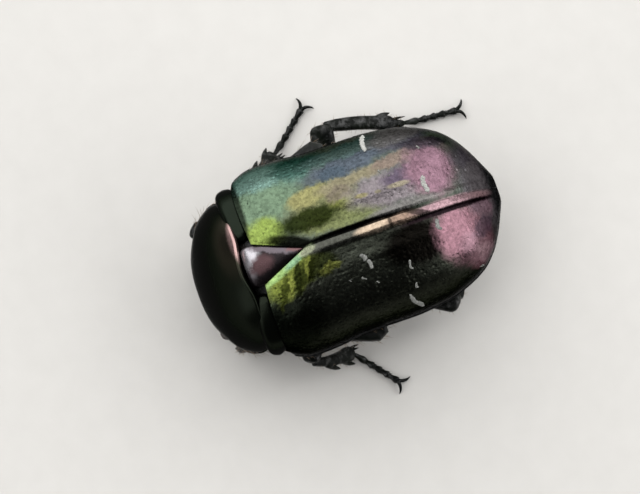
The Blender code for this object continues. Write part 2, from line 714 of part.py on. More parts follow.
def make_tibia(name, kind, outward, knee, ankle):
    """A shin that widens to its foot, with teeth along its outer edge and two spurs at its end."""
    start, end, along, flat = tibia_frame(knee, ankle)
    outer = flat if flat.dot(Vector(outward)) > 0 else -flat
    thin, thick = TIBIA_HALF_WIDTHS[kind]
    shape = ((0, thin * 0.65), (0.03, thin * 0.95), (0.3, thin * 1.15), (0.7, thin + 0.6 * (thick - thin)), (1, thick))
    stations = []
    for t, wide in shape:
        depth = TIBIA_HALF_DEPTH * (0.7 if t == 0 else 1)
        stations.append((start.lerp(end, t) + outer * max(wide - thin, 0) * 0.3, wide, depth))
    pieces = [tube(stations, outer, 10)]
    for at in TIBIA_TEETH[kind]:
        root = start.lerp(end, at - 0.1) + outer * 0.1
        edge = thin + (thick - thin) * at
        lean = (outer + along * 0.9).normalized()
        tip = start.lerp(end, at) + outer * edge * 0.8 + lean * TOOTH_LENGTH[kind]
        pieces.append(tube([(root, 0.26, 0.22), (root.lerp(tip, 0.6), 0.17, 0.15), (tip, 0.05, 0.05)], along, 6))
    for at in (-0.5, -0.85) if kind != "front" else ():
        root = end - along * 0.25 + outer * thick * at * 0.6
        tip = root + along * (SPUR_LENGTH + 0.25) - outer * 0.22 + Vector((0, 0, 0.12))
        pieces.append(tube([(root, 0.14, 0.14), (root.lerp(tip, 0.6), 0.12, 0.12), (tip, 0.05, 0.05)], outer, 6))
    return above_floor(fuse(name, pieces, "legs"))


def above_floor(obj):
    """Flattens what would pass through the floor, so that the foot stands on small flats."""
    for vertex in obj.data.vertices:
        vertex.co.z = max(vertex.co.z, 0)
    return obj


def make_tarsus(name, kind, ankle, toe):
    """Five joints that swell to their far ends, and a pair of hooked claws."""
    toe = Vector(toe)
    flatly = Vector((toe.x - ankle[0], toe.y - ankle[1], 0)).normalized()
    heel = Vector(ankle) + flatly * (GAP + HEEL_ROOM[kind]) + Vector((0, 0, -0.22))
    joint = (toe - Vector((heel.x, heel.y, toe.z))).length / TARSUS_JOINTS
    stations = []
    for i in range(TARSUS_JOINTS):
        for share, radius in ((0.02, TARSUS_NECK_RADIUS), (0.55, 0.23), (0.93, TARSUS_END_RADIUS)):
            along = (i + share) * joint
            low = toe.z + (heel.z - toe.z) * (1 - rise(0.0, joint, along))
            stations.append(((heel.x + flatly.x * along, heel.y + flatly.y * along, low), radius, radius))
    across = flatly.cross(Vector((0, 0, 1)))
    pieces = [tube(stations, across, 8)]
    for side in (1, -1):
        pieces.append(claw(toe, flatly, across * side))
    return above_floor(fuse(name, pieces, "legs"))


def claw(toe, forward, sideways):
    """A hook that leaves the last joint forward and to one side, and bends down to the floor."""
    out = (forward * math.cos(CLAW_SPREAD) + sideways * math.sin(CLAW_SPREAD)).normalized()
    stations = []
    for share in (0, 0.35, 0.7, 1):
        bend = share * share
        spot = toe - forward * 0.15 + out * CLAW_LENGTH * share * (1 - 0.12 * bend)
        spot += Vector((0, 0, 0.1 * math.sin(math.pi * share) - 0.17 * bend))
        radius = CLAW_ROOT_RADIUS * (1 - 0.75 * share)
        stations.append((spot, radius, radius))
    return tube(stations, sideways, 6)


def make_legs():
    for name, (hip, knee, ankle, toe) in LEGS.items():
        kind = name.split("_")[0]
        side = 1 if hip[0] > 0 else -1
        fuse(f"coxa_{name}", coxa_shapes(kind, side, hip, 0), "legs")
        make_femur(f"femur_{name}", kind, hip, knee)
        make_tibia(f"tibia_{name}", kind, (side, -0.4 if kind == "front" else 0.2, 0), knee, ankle)
        make_tarsus(f"tarsus_{name}", kind, ankle, toe)


def stand_on_origin():
    """Gives each node its origin in its own middle, and hangs all from an empty in the frame's origin.

    The empty moves the beetle so that the bottom centre of its whole box stands on the origin.
    """
    nodes = [obj for obj in bpy.context.scene.objects if obj.type == "MESH"]
    corners = np.array([v.co for obj in nodes for v in obj.data.vertices])
    low, high = corners.min(0), corners.max(0)
    body = bpy.data.objects.new("rose_chafer", None)
    bpy.context.scene.collection.objects.link(body)
    body.location = (-(low[0] + high[0]) / 2, -(low[1] + high[1]) / 2, -low[2])
    for obj in nodes:
        points = np.array([v.co for v in obj.data.vertices])
        middle = Vector([float(c) for c in (points.min(0) + points.max(0)) / 2])
        obj.data.transform(Matrix.Translation(-middle))
        obj.location = middle
        obj.parent = body


def main():
    clear_scene()
    prothorax_room = add_mesh("prothorax_room", *prothorax_loft(ROOM), "cuticle")
    scutellum_room = add_mesh("scutellum_room", *loft(scutellum_rings(ROOM - 0.05)), "cuticle")
    make_elytron("elytron_left", 1)
    make_elytron("elytron_right", -1)
    make_scutellum()
    make_thorax(prothorax_room, scutellum_room)
    make_abdomen()
    make_pygidium()
    apply_boolean(add_mesh("prothorax", *prothorax_loft(0), "cuticle"), coxa_rooms(), "DIFFERENCE")
    make_head()
    make_mouth()
    for kind, make in (("eye", make_eye), ("antenna", make_antenna), ("palp", make_palp)):
        mirrored(f"{kind}_right", make(f"{kind}_left", 1))
    make_legs()
    stand_on_origin()


main()
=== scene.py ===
"""Rose chafer at life size: the finished skin of every part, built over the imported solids.

Sizes are millimetres in the beetle's own frame: +X is its left, -Y its front, +Z up, and the tip of the
scutellum lies at x = 0, y = 0. The parts follow in the order in which a beetle is put together.
"""

import math

import bmesh
import bpy
import numpy as np
from mathutils import Matrix, Vector


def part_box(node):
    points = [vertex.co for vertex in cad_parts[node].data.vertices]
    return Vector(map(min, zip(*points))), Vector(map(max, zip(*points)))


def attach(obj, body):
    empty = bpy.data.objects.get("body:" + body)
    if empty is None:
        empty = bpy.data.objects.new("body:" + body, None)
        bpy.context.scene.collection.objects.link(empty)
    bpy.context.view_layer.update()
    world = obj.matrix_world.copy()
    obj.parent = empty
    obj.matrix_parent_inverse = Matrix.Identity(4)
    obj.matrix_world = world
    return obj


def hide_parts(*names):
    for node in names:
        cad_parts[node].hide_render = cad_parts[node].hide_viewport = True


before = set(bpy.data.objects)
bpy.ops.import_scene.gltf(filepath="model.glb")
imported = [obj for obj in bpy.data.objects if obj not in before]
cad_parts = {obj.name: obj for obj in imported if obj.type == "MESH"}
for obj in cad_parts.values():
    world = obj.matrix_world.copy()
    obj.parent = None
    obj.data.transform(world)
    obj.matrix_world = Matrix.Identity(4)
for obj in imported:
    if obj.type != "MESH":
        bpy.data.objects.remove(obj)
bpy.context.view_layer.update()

# Thorax and abdomen
# The trunk is a barrel of hard plates, tanned black chitin grown in one skin. The belly's six plates
# overlap towards the rear like roof tiles, and the breast carries a knob between the middle legs.

MM = 0.001
# The solid scutellum ends this far short of the drawn tip, which is the beetle's origin.
TIP_BEYOND = 0.15
shield_low, shield_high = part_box("scutellum")
BEETLE_ORIGIN = Vector(((shield_low.x + shield_high.x) / 2, shield_high.y + TIP_BEYOND * MM, 0))

HALF_WIDTH_KNOTS = (
    (-3.1, 3.95), (-2.5, 4.55), (-1.2, 5.0), (0.2, 4.95), (1.5, 4.78), (4.0, 4.8), (6.0, 4.62),
    (7.2, 4.25), (8.3, 3.68), (9.0, 3.0), (9.5, 2.25), (9.95, 1.35), (10.35, 0.45),
)
TOP_KNOTS = (
    (-3.1, 8.3), (-1.0, 8.75), (1.5, 8.9), (4.0, 8.85), (6.0, 8.5),
    (7.5, 7.9), (8.6, 7.1), (9.4, 6.15), (10.0, 5.2), (10.35, 4.55),
)
MARGIN_KNOTS = (
    (-3.1, 5.6), (-1.0, 5.15), (1.4, 5.4), (4.0, 5.1), (7.0, 4.9), (9.0, 4.5), (10.35, 4.2),
)
BELLY_KNOTS = (
    (-3.1, 3.6), (-1.5, 2.9), (0.0, 2.45), (1.5, 2.3), (3.0, 2.45), (6.0, 2.6),
    (8.0, 2.95), (9.2, 3.4), (9.9, 3.8),
)


def profile(knots):
    """A smooth curve through (position, value) knots that never swings past them."""
    at, value = np.array(knots, float).T
    step = np.diff(value) / np.diff(at)
    slope = np.concatenate([step[:1], np.zeros(len(at) - 2), step[-1:]])
    for i in range(1, len(at) - 1):
        if step[i - 1] * step[i] > 0:
            slope[i] = 2 * step[i - 1] * step[i] / (step[i - 1] + step[i])

    def curve(t):
        t = np.clip(t, at[0], at[-1])
        i = np.clip(np.searchsorted(at, t, side="right") - 1, 0, len(at) - 2)
        width = at[i + 1] - at[i]
        s = (t - at[i]) / width
        climb = value[i + 1] - value[i]
        near = slope[i] * width * s * (1 - s) ** 2
        far = slope[i + 1] * width * s * s * (s - 1)
        return value[i] + climb * s * s * (3 - 2 * s) + near + far

    return curve


half_width = profile(HALF_WIDTH_KNOTS)
top_height = profile(TOP_KNOTS)
margin_height = profile(MARGIN_KNOTS)
belly_height = profile(BELLY_KNOTS)


def arch(turn, side_power, top_power):
    """Sideways and upward shares of a rounded arch, from its top (turn 0) to its foot (turn 1)."""
    angle = np.clip(turn, 0, 1) * math.pi / 2
    return np.sin(angle) ** (2 / side_power), np.cos(angle) ** (2 / top_power)


def hump(distance, width):
    """1 at distance 0, falling smoothly to 0 at width."""
    return np.clip(1 - (distance / width) ** 2, 0, 1) ** 2


def rise(low, high, t):
    s = np.clip((t - low) / (high - low), 0, 1)
    return s * s * (3 - 2 * s)


def wrap(rings):
    """Points and faces of the closed skin over rings of equal length, with a cap on each end."""
    rings = np.asarray(rings, float)
    rows, count = rings.shape[:2]
    i, j = np.meshgrid(np.arange(rows - 1), np.arange(count), indexing="ij")
    k = (j + 1) % count
    faces = np.stack([i * count + j, i * count + k, (i + 1) * count + k, (i + 1) * count + j], -1)
    faces = faces.reshape(-1, 4).tolist()
    faces += [list(range(count))[::-1], list(range((rows - 1) * count, rows * count))]
    return rings.reshape(-1, 3), faces


def merge(shapes):
    """Several closed skins as one set of points and faces."""
    points, faces, start = [], [], 0
    for at, sides in shapes:
        points.append(np.asarray(at, float))
        faces += [[v + start for v in side] for side in sides]
        start += len(at)
    return np.concatenate(points), faces


def add_piece(name, shape, finish, nodes, sharp=50):
    """A piece of the beetle from points in its millimetres. It rides on the one body."""
    points, faces = shape
    mesh = bpy.data.meshes.new(name)
    mesh.from_pydata((np.asarray(points) * MM + np.array(BEETLE_ORIGIN)).tolist(), [], faces)
    work = bmesh.new()
    work.from_mesh(mesh)
    bmesh.ops.recalc_face_normals(work, faces=work.faces)
    work.to_mesh(mesh)
    work.free()
    mesh.shade_smooth()
    mesh.set_sharp_from_angle(angle=math.radians(sharp))
    mesh.materials.append(finish)
    made = bpy.data.objects.new(name, mesh)
    bpy.context.scene.collection.objects.link(made)
    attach(made, "root")
    if nodes:
        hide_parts(*nodes)
    return made


def to_linear(color):
    """An sRGB hex colour as linear red, green, blue and alpha."""
    parts = [int(color[i : i + 2], 16) / 255 for i in (1, 3, 5)]
    return (*[p / 12.92 if p <= 0.04045 else ((p + 0.055) / 1.055) ** 2.4 for p in parts], 1)


def link(tree, node, inputs):
    """Gives each input its value, or what feeds it: a socket, or a node by its first live output."""
    for key, value in inputs.items():
        if isinstance(value, bpy.types.Node):
            value = next(socket for socket in value.outputs if socket.enabled)
        if isinstance(value, bpy.types.NodeSocket):
            tree.links.new(value, node.inputs[key])
        else:
            node.inputs[key].default_value = value
    return node


def add(tree, kind, inputs=None, **settings):
    """A shader node with its settings and links."""
    made = tree.nodes.new("ShaderNode" + kind)
    for key, value in settings.items():
        setattr(made, key, value)
    return link(tree, made, inputs or {})


def start_material(name):
    """A new material, its node tree, its shader and its surface position in the beetle's millimetres.
    A pattern's Scale is therefore its count of cells a millimetre: at 0.55 a cloud is 1.8 mm wide."""
    made = bpy.data.materials.new(name)
    made.use_nodes = True
    tree = made.node_tree
    where = add(tree, "TexCoord").outputs["Object"]
    origin = tuple(-c / MM for c in BEETLE_ORIGIN)
    place = add(tree, "Mapping", {"Vector": where, "Scale": (1 / MM,) * 3, "Location": origin})
    return made, tree, tree.nodes["Principled BSDF"], place


CHITIN_IOR = 1.56
PIT_SPACING = 0.17


def make_black_chitin(name, dull, bright):
    """Tanned chitin: a dark glassy skin with fine pits and a breath of bronze green. Its shine wanders
    between dull, where it is rubbed, and bright, where it is polished."""
    made, tree, shader, place = start_material(name)
    cloud = add(tree, "TexNoise", {"Vector": place, "Scale": 0.55, "Detail": 3.0})
    wear = add(tree, "TexNoise", {"Vector": place, "Scale": 2.8, "Detail": 5.0, "Roughness": 0.6})
    shine = add(tree, "MapRange", {"Value": wear, "From Min": 0.46, "From Max": 0.66,
                                   "To Min": dull, "To Max": bright})
    tone = add(tree, "ValToRGB", {"Fac": cloud})
    for stop, spot, color in zip(tone.color_ramp.elements, (0.35, 0.7), ("#070808", "#0d110b")):
        stop.position, stop.color = spot, to_linear(color)
    pits = add(tree, "TexVoronoi", {"Vector": place, "Scale": 1 / PIT_SPACING, "Randomness": 0.9})
    pit = add(tree, "MapRange", {"Value": pits, "From Min": 0.08, "From Max": 0.28})
    grain = add(tree, "TexNoise", {"Vector": place, "Scale": 3.5, "Detail": 5.0, "Roughness": 0.6})
    height = add(tree, "Math", {0: pit, 1: 0.25, 2: grain}, operation="MULTIPLY_ADD")
    bump = add(tree, "Bump", {"Height": height, "Strength": 0.6, "Distance": 0.08 * MM})
    gloss = add(tree, "MapRange", {"Value": cloud, "To Min": 0.2, "To Max": 0.34})
    link(tree, shader, {"Base Color": tone, "IOR": CHITIN_IOR, "Roughness": gloss, "Normal": bump,
                        "Specular IOR Level": shine})
    return made


black_chitin = make_black_chitin("black_chitin", 0.1, 0.2)

WING_CASE_ROOM = 0.94
SIDE_INSET = 0.15
LEDGE_DROP = 0.3
BACK_POWERS = (2.9, 2.1)
BELLY_POWERS = (2.3, 2.0)
MIDLINE_GROOVE = 0.09
MIDLINE_HALF_WIDTH = 0.16
BREAST_SEAM = 0.07
STERNITES = 6
STERNITE_STEPS = (
    (0.005, 0.13), (0.05, 0.12), (0.2, 0.095), (0.4, 0.065), (0.6, 0.035), (0.8, 0.01), (0.95, 0),
    (0.995, 0.03),
)
ABDOMEN_FRONT_Y = 3.1
TRUNK_FRONT_Y = -3.0
TRUNK_END_Y = 9.9
TRUNK_UPPER_COLUMNS = 40
TRUNK_LOWER_COLUMNS = 56


def trunk_ring(y, shrink):
    """One closed section of the trunk. shrink draws the belly in, between its plates."""
    wide, high, foot = half_width(y), top_height(y), margin_height(y)
    low, ledge = belly_height(y) + shrink, foot - LEDGE_DROP
    sideways, upward = arch(np.linspace(0, 1, TRUNK_UPPER_COLUMNS), *BACK_POWERS)
    upper_x = (wide - WING_CASE_ROOM) * sideways
    upper_z = ledge + (high - WING_CASE_ROOM - ledge) * upward
    turn = np.linspace(1, 0, TRUNK_LOWER_COLUMNS)
    sideways, downward = arch(turn, *BELLY_POWERS)
    lower_x = (wide - SIDE_INSET - shrink) * sideways
    lower_z = ledge - (ledge - low) * downward
    breast = rise(-2.6, -1.8, y) * (1 - rise(ABDOMEN_FRONT_Y - 0.5, ABDOMEN_FRONT_Y, y))
    lower_z = lower_z + MIDLINE_GROOVE * hump(lower_x, MIDLINE_HALF_WIDTH) * breast
    seam = 0.72 - 0.05 * y
    lower_x = lower_x - BREAST_SEAM * hump(turn - seam, 0.035) * breast
    x, z = np.concatenate([upper_x, lower_x]), np.concatenate([upper_z, lower_z])
    ring = np.stack([x, np.full_like(x, y), z], 1)
    return np.concatenate([ring, ring[1:-1][::-1] * (-1, 1, 1)])


def trunk_length(front, back, plates):
    """The skin of the trunk from front to back, with its plates' overlapping edges."""
    if not plates:
        return wrap([trunk_ring(y, 0) for y in np.linspace(front, back, 60)])
    length = (back - front) / plates
    stations = [(i + share, shrink) for i in range(plates) for share, shrink in STERNITE_STEPS]
    return wrap([trunk_ring(front + at * length, shrink) for at, shrink in stations])


def halve(shape, point, outward):
    """The part of a closed skin behind a plane, closed again along the cut."""
    work = bmesh.new()
    at = [work.verts.new(p) for p in shape[0]]
    for face in shape[1]:
        work.faces.new([at[v] for v in face])
    geometry = work.verts[:] + work.edges[:] + work.faces[:]
    cut = bmesh.ops.bisect_plane(work, geom=geometry, plane_co=point, plane_no=outward, clear_outer=True)
    edges = [e for e in cut["geom_cut"] if isinstance(e, bmesh.types.BMEdge)]
    bmesh.ops.contextual_create(work, geom=edges)
    work.verts.index_update()
    made = [tuple(v.co) for v in work.verts], [[v.index for v in f.verts] for f in work.faces]
    work.free()
    return made


def ellipsoid(centre, radii, rows=24, columns=32):
    """A closed egg shape."""
    up = np.linspace(0.04, math.pi - 0.04, rows)[:, None]
    turn = np.linspace(0, 2 * math.pi, columns, endpoint=False)[None, :]
    ball = np.stack([np.sin(up) * np.cos(turn), np.sin(up) * np.sin(turn), np.cos(up) + 0 * turn], -1)
    return wrap(ball * np.array(radii) + np.array(centre))


FLANGE_ROOT_X = 2.6
FLANGE_Y = (0.65, 2.5)
FLANGE_X = (5.0, 5.4)
FLANGE_SINK = 0.35
FLANGE_THICKNESS = 0.62
FLANGE_ROUNDING = 0.32


def flange(side):
    """The outer corner of the hind breast, which shows under the hollow of the wing case's edge."""
    root, (near_y, far_y), (near_x, far_x) = FLANGE_ROOT_X, FLANGE_Y, FLANGE_X
    high = margin_height(far_y) - FLANGE_SINK
    corners = np.array((
        (root, near_y - 0.9), (near_x - 0.55, near_y - 0.8), (near_x - 0.1, near_y - 0.1),
        (far_x - 0.12, far_y - 0.9), (far_x, far_y - 0.45), (far_x - 0.3, far_y + 0.1), (root, far_y + 0.2),
    ))
    middle = np.array((root, (near_y + far_y) / 2))
    rings = []
    for t in np.linspace(-1, 1, 11):
        inset = FLANGE_ROUNDING * (1 - math.sqrt(max(1 - t * t, 0)))
        z = high - FLANGE_THICKNESS * (1 - t) / 2
        ring = []
        for here, there in zip(corners, np.roll(corners, -1, axis=0)):
            for s in np.linspace(0, 1, 6, endpoint=False):
                spot = here + (there - here) * s
                spot = spot + (middle - spot) / np.hypot(*(middle - spot)) * inset
                ring.append((side * spot[0], spot[1], z))
        rings.append(ring)
    return wrap(rings)


KNOB_MIDDLE = (0, -0.95, 2.38)
KNOB_RADII = (0.55, 0.6, 0.5)
thorax_shapes = [trunk_length(TRUNK_FRONT_Y, ABDOMEN_FRONT_Y, 0), ellipsoid(KNOB_MIDDLE, KNOB_RADII)]
thorax_shapes += [flange(side) for side in (1, -1)]
thorax = add_piece("thorax_skin", merge(thorax_shapes), black_chitin, ["thorax"])

# The pygidium is the last plate of the back, the one that the wing cases leave bare: it slants down
# and forward behind them. It is cut from the same barrel as the abdomen, along a slanting seam.

PYGIDIUM_TOP = np.array((0, 8.95, 5.2))
PYGIDIUM_FOOT = np.array((0, 8.35, 2.4))
seam_run = (PYGIDIUM_TOP - PYGIDIUM_FOOT) / np.linalg.norm(PYGIDIUM_TOP - PYGIDIUM_FOOT)
seam_back = np.array((0, seam_run[2], -seam_run[1]))
SEAM_GAP = 0.05
WAIST_GAP = 0.03
abdomen_skin = trunk_length(ABDOMEN_FRONT_Y + WAIST_GAP, TRUNK_END_Y, STERNITES)
abdomen_shape = halve(abdomen_skin, PYGIDIUM_TOP - seam_back * SEAM_GAP / 2, seam_back)
abdomen = add_piece("abdomen_skin", abdomen_shape, black_chitin, ["abdomen"])
tail_skin = trunk_length(ABDOMEN_FRONT_Y + WAIST_GAP, TRUNK_END_Y, 0)
tail_shape = halve(tail_skin, PYGIDIUM_TOP + seam_back * SEAM_GAP / 2, -seam_back)
pygidium = add_piece("pygidium_skin", tail_shape, black_chitin, ["pygidium"])

# Legs
# Six jointed legs of the same black chitin, rubbed dull in places: a bulb sunk in the breast, a flat
# oval thigh, a shin that widens to its foot, five foot beads and two hooked claws. The shins bear teeth
# on their outer edge, and the middle and hind ones end in two spurs.

# Each leg's hip, knee, ankle and toe.
LEGS = {
    "front_left": ((1.25, -2.95, 2.55), (3.44, -4.3, 3.1), (2.85, -4.55, 0.72), (0.95, -3.0, 0.2)),
    "front_right": ((-1.25, -2.95, 2.55), (-3.08, -4.85, 3.1), (-2.85, -4.45, 0.72), (-1.05, -2.85, 0.2)),
    "mid_left": ((1.75, 0.2, 1.95), (4.95, -1.56, 2.9), (5.34, 0.48, 0.75), (7.5, 2.25, 0.2)),
    "mid_right": ((-1.75, 0.2, 1.95), (-4.6, -1.9, 2.9), (-5.87, 0.05, 0.75), (-7.75, 2.2, 0.2)),
    "hind_left": ((1.6, 2.75, 1.88), (4.57, 6.3, 2.7), (0.7, 7.8, 0.8), (-1.5, 9.5, 0.2)),
    "hind_right": ((-1.6, 2.75, 1.88), (-5.85, 2.87, 2.9), (-5.2, 7.0, 0.85), (-4.96, 9.95, 0.2)),
}
# Radii of the coxa, and how far its middle lies outward, back and up from the hip.
COXA_BULB = {
    "front": ((0.64, 0.6, 0.85), (0.0, 0.1, 0.68)),
    "mid": ((0.85, 0.58, 0.6), (0.15, 0.1, 0.98)),
    "hind": ((1.05, 0.56, 0.5), (0.4, -0.2, 1.12)),
}
HIP_RADIUS = 0.36
KNEE_RADIUS = 0.28
FEMUR_START = 0.55
FEMUR_HALF_WIDTH = {"front": 0.5, "mid": 0.52, "hind": 0.66}
FEMUR_HALF_DEPTH = 0.36
FEMUR_OUTLINE = (
    (0.0, 0.3), (0.04, 0.5), (0.12, 0.74), (0.42, 1.0), (0.75, 0.98), (0.92, 0.93), (0.975, 0.72),
    (0.995, 0.38), (1.0, 0.1),
)
# How far each thigh reaches past its knee, and how far each thigh and shin bows out of the straight.
FEMUR_REACH = dict.fromkeys(LEGS, 0.3) | {"front_right": 0.5, "hind_left": 0.42, "hind_right": 0.42}
FEMUR_BOW = {"front": 0.0, "mid": 0.0, "hind": -0.3}
TIBIA_BOW = dict.fromkeys(LEGS, 0.05) | {
    "mid_left": 0.28, "mid_right": -0.12, "hind_left": 0.3, "hind_right": 0.3,
}
TIBIA_HALF_WIDTHS = {"front": (0.25, 0.5), "mid": (0.24, 0.42), "hind": (0.32, 0.42)}
TIBIA_HALF_DEPTH = 0.24
# Where each shin ends and its teeth stand, as shares of its length. A spur is (share of the half width
# outward, rise of its tip).
TIBIA_END = {"front": 0.97, "mid": 0.97, "hind": 0.86}
TIBIA_TEETH = {"front": (0.52, 0.76, 0.98), "mid": (0.58, 0.97), "hind": (0.83,)}
TOOTH_LENGTH = {"front": 0.46, "mid": 0.36, "hind": 0.3}
TOOTH_ROOT = 0.7
TOOTH_THICKNESS = 0.2
SPURS = {"front": (), "mid": ((-0.5, 0.12), (-0.85, 0.12)), "hind": ((0.45, 0.2), (-0.7, 0.1))}
SPUR_LENGTH = {"mid": 0.75, "hind": 1.05}
SPUR_THICKNESS = 0.1
TARSUS_SHARES = (0.25, 0.185, 0.175, 0.17, 0.22)
TARSUS_GIRTH = ((0, 0.05), (0.06, 0.1), (0.4, 0.135), (0.82, 0.195), (0.93, 0.175), (1, 0.08))
SPINE_LEANS = (-0.9, -0.3, 0.3, 0.9)
SPINE_LENGTH = 0.22
SPINE_THICKNESS = 0.03
CLAW_LENGTH = 0.85
CLAW_STEPS = 5
CLAW_SPREAD = math.radians(12)
CLAW_CURL = math.radians(80)
CLAW_GIRTH = ((0, 0.11), (0.3, 0.1), (0.75, 0.06), (1, 0.015))


def unit(vector):
    return np.asarray(vector, float) / np.linalg.norm(vector)


def along_path(path, share):
    """Points at these shares of a smooth line that passes through all points of path."""
    path = np.asarray(path, float)
    steps = np.linalg.norm(np.diff(path, axis=0), axis=1)
    at = np.concatenate([[0], np.cumsum(steps)]) / steps.sum()
    if len(path) == 2:
        return path[0] + (path[1] - path[0]) * np.asarray(share)[:, None]
    slope = np.gradient(path, at, axis=0)
    i = np.clip(np.searchsorted(at, share, side="right") - 1, 0, len(at) - 2)
    width = (at[i + 1] - at[i])[:, None]
    s = (share - at[i])[:, None] / width
    near = (2 * s**3 - 3 * s**2 + 1) * path[i] + (s**3 - 2 * s**2 + s) * width * slope[i]
    return near + (3 * s**2 - 2 * s**3) * path[i + 1] + (s**3 - s**2) * width * slope[i + 1]


def limb(path, wide, deep, side, sides=20, rows=28, corner=2.0):
    """The skin of a limb along path. Its half width lies along side. wide and deep are (share, value)."""
    share = (1 - np.cos(np.linspace(0, math.pi, rows))) / 2
    centres = along_path(path, share)
    run = np.gradient(centres, axis=0)
    run /= np.linalg.norm(run, axis=1)[:, None]
    across = np.asarray(side, float) - run * (run @ np.asarray(side, float))[:, None]
    across /= np.linalg.norm(across, axis=1)[:, None]
    up = np.cross(run, across)
    turn = 2 * math.pi * (np.arange(sides) + 0.5) / sides
    c, s = (np.sign(f) * np.abs(f) ** (2 / corner) for f in (np.cos(turn), np.sin(turn)))
    w, d = profile(wide)(share)[:, None], profile(deep)(share)[:, None]
    return wrap(centres[:, None] + across[:, None] * (w * c)[..., None] + up[:, None] * (d * s)[..., None])


def scaled(knots, factor):
    return tuple((share, value * factor) for share, value in knots)


def spike(root, tip, thick, bend=(0, 0, 0)):
    """A pointed spine, bent by this much at its middle."""
    middle = (np.asarray(root) + tip) / 2 + bend
    girth = scaled(((0, 1), (0.5, 0.72), (0.9, 0.28), (1, 0.06)), thick)
    return limb([root, middle, tip], girth, girth, (0.3, 0.5, 0.81), sides=10, rows=12)


def coxa(kind, side, hip):
    radii, (out, back, up) = COXA_BULB[kind]
    middle = np.array(hip) + (side * out, back, up)
    neck = ((0, 0.52), (1, 0.34))
    return merge([ellipsoid(middle, radii), limb([middle, hip], neck, neck, (1, 0, 0)),
                  ellipsoid(hip, (HIP_RADIUS,) * 3)])


def femur(kind, reach, hip, knee):
    """A thigh, with the bead of the trochanter at its root."""
    hip, knee = np.array(hip), np.array(knee)
    run = unit(knee - hip)
    flat = np.cross(run, (0, 0, 1))
    start = hip + run * FEMUR_START
    wide, deep = (scaled(FEMUR_OUTLINE, half) for half in (FEMUR_HALF_WIDTH[kind], FEMUR_HALF_DEPTH))
    middle = (start + knee) / 2 + (0, FEMUR_BOW[kind], 0)
    thigh = limb([start, middle, knee + run * reach], wide, deep, flat, sides=28, rows=40, corner=2.4)
    bead = limb([hip + run * 0.1, hip + run * 0.95], ((0, 0.15), (0.2, 0.33), (0.7, 0.36), (1, 0.1)),
                ((0, 0.15), (0.2, 0.3), (0.7, 0.3), (1, 0.1)), flat)
    return merge([thigh, bead, ellipsoid(knee, (KNEE_RADIUS,) * 3, 16, 20)])


def tibia(kind, bow, outward, knee, ankle):
    """A shin with teeth on its outer edge and, behind the front pair, two spurs at its end."""
    knee, ankle = np.array(knee), np.array(ankle)
    run = unit(ankle - knee)
    flat = unit(np.cross(run, (0, 0, 1)))
    outer = flat if flat @ np.array(outward) > 0 else -flat
    (thin, thick), end, long = TIBIA_HALF_WIDTHS[kind], TIBIA_END[kind], TOOTH_LENGTH[kind]
    start = knee + run * 0.06
    wide = (
        (0, 0.1), (0.03, thin * 0.8), (0.3, thin * 1.1), (0.7, thin + 0.6 * (thick - thin)),
        (end - 0.07, thick), (end, thick * 0.85), (end + 0.03, thick * 0.5), (1.01, thick * 0.4),
    )
    deep = ((0, 0.1), (0.03, TIBIA_HALF_DEPTH * 0.85), (0.96, TIBIA_HALF_DEPTH), (1, TIBIA_HALF_DEPTH * 0.6))
    lean = [start + outer * bow, start + (ankle - start) * 0.4 + outer * bow, ankle]
    shapes = [limb(lean, wide, deep, outer, sides=24, rows=44, corner=2.8)]
    for at in TIBIA_TEETH[kind]:
        edge = thin + (thick - thin) * at
        near, level = along_path(lean, np.array((at - TOOTH_ROOT / np.linalg.norm(ankle - start), at)))
        tip = level + outer * (edge * 0.75 + long * 0.75) + run * long * 0.6
        shapes.append(spike(near + outer * edge * 0.45, tip, TOOTH_THICKNESS, outer * 0.05))
    for at, lift in SPURS[kind]:
        root = along_path(lean, np.array((end - 0.03,)))[0] + outer * thick * at * 0.6
        tip = root + run * SPUR_LENGTH[kind] + outer * 0.25 * at + (0, 0, lift)
        shapes.append(spike(root, tip, SPUR_THICKNESS, outer * 0.05 * at))
    return merge(shapes)


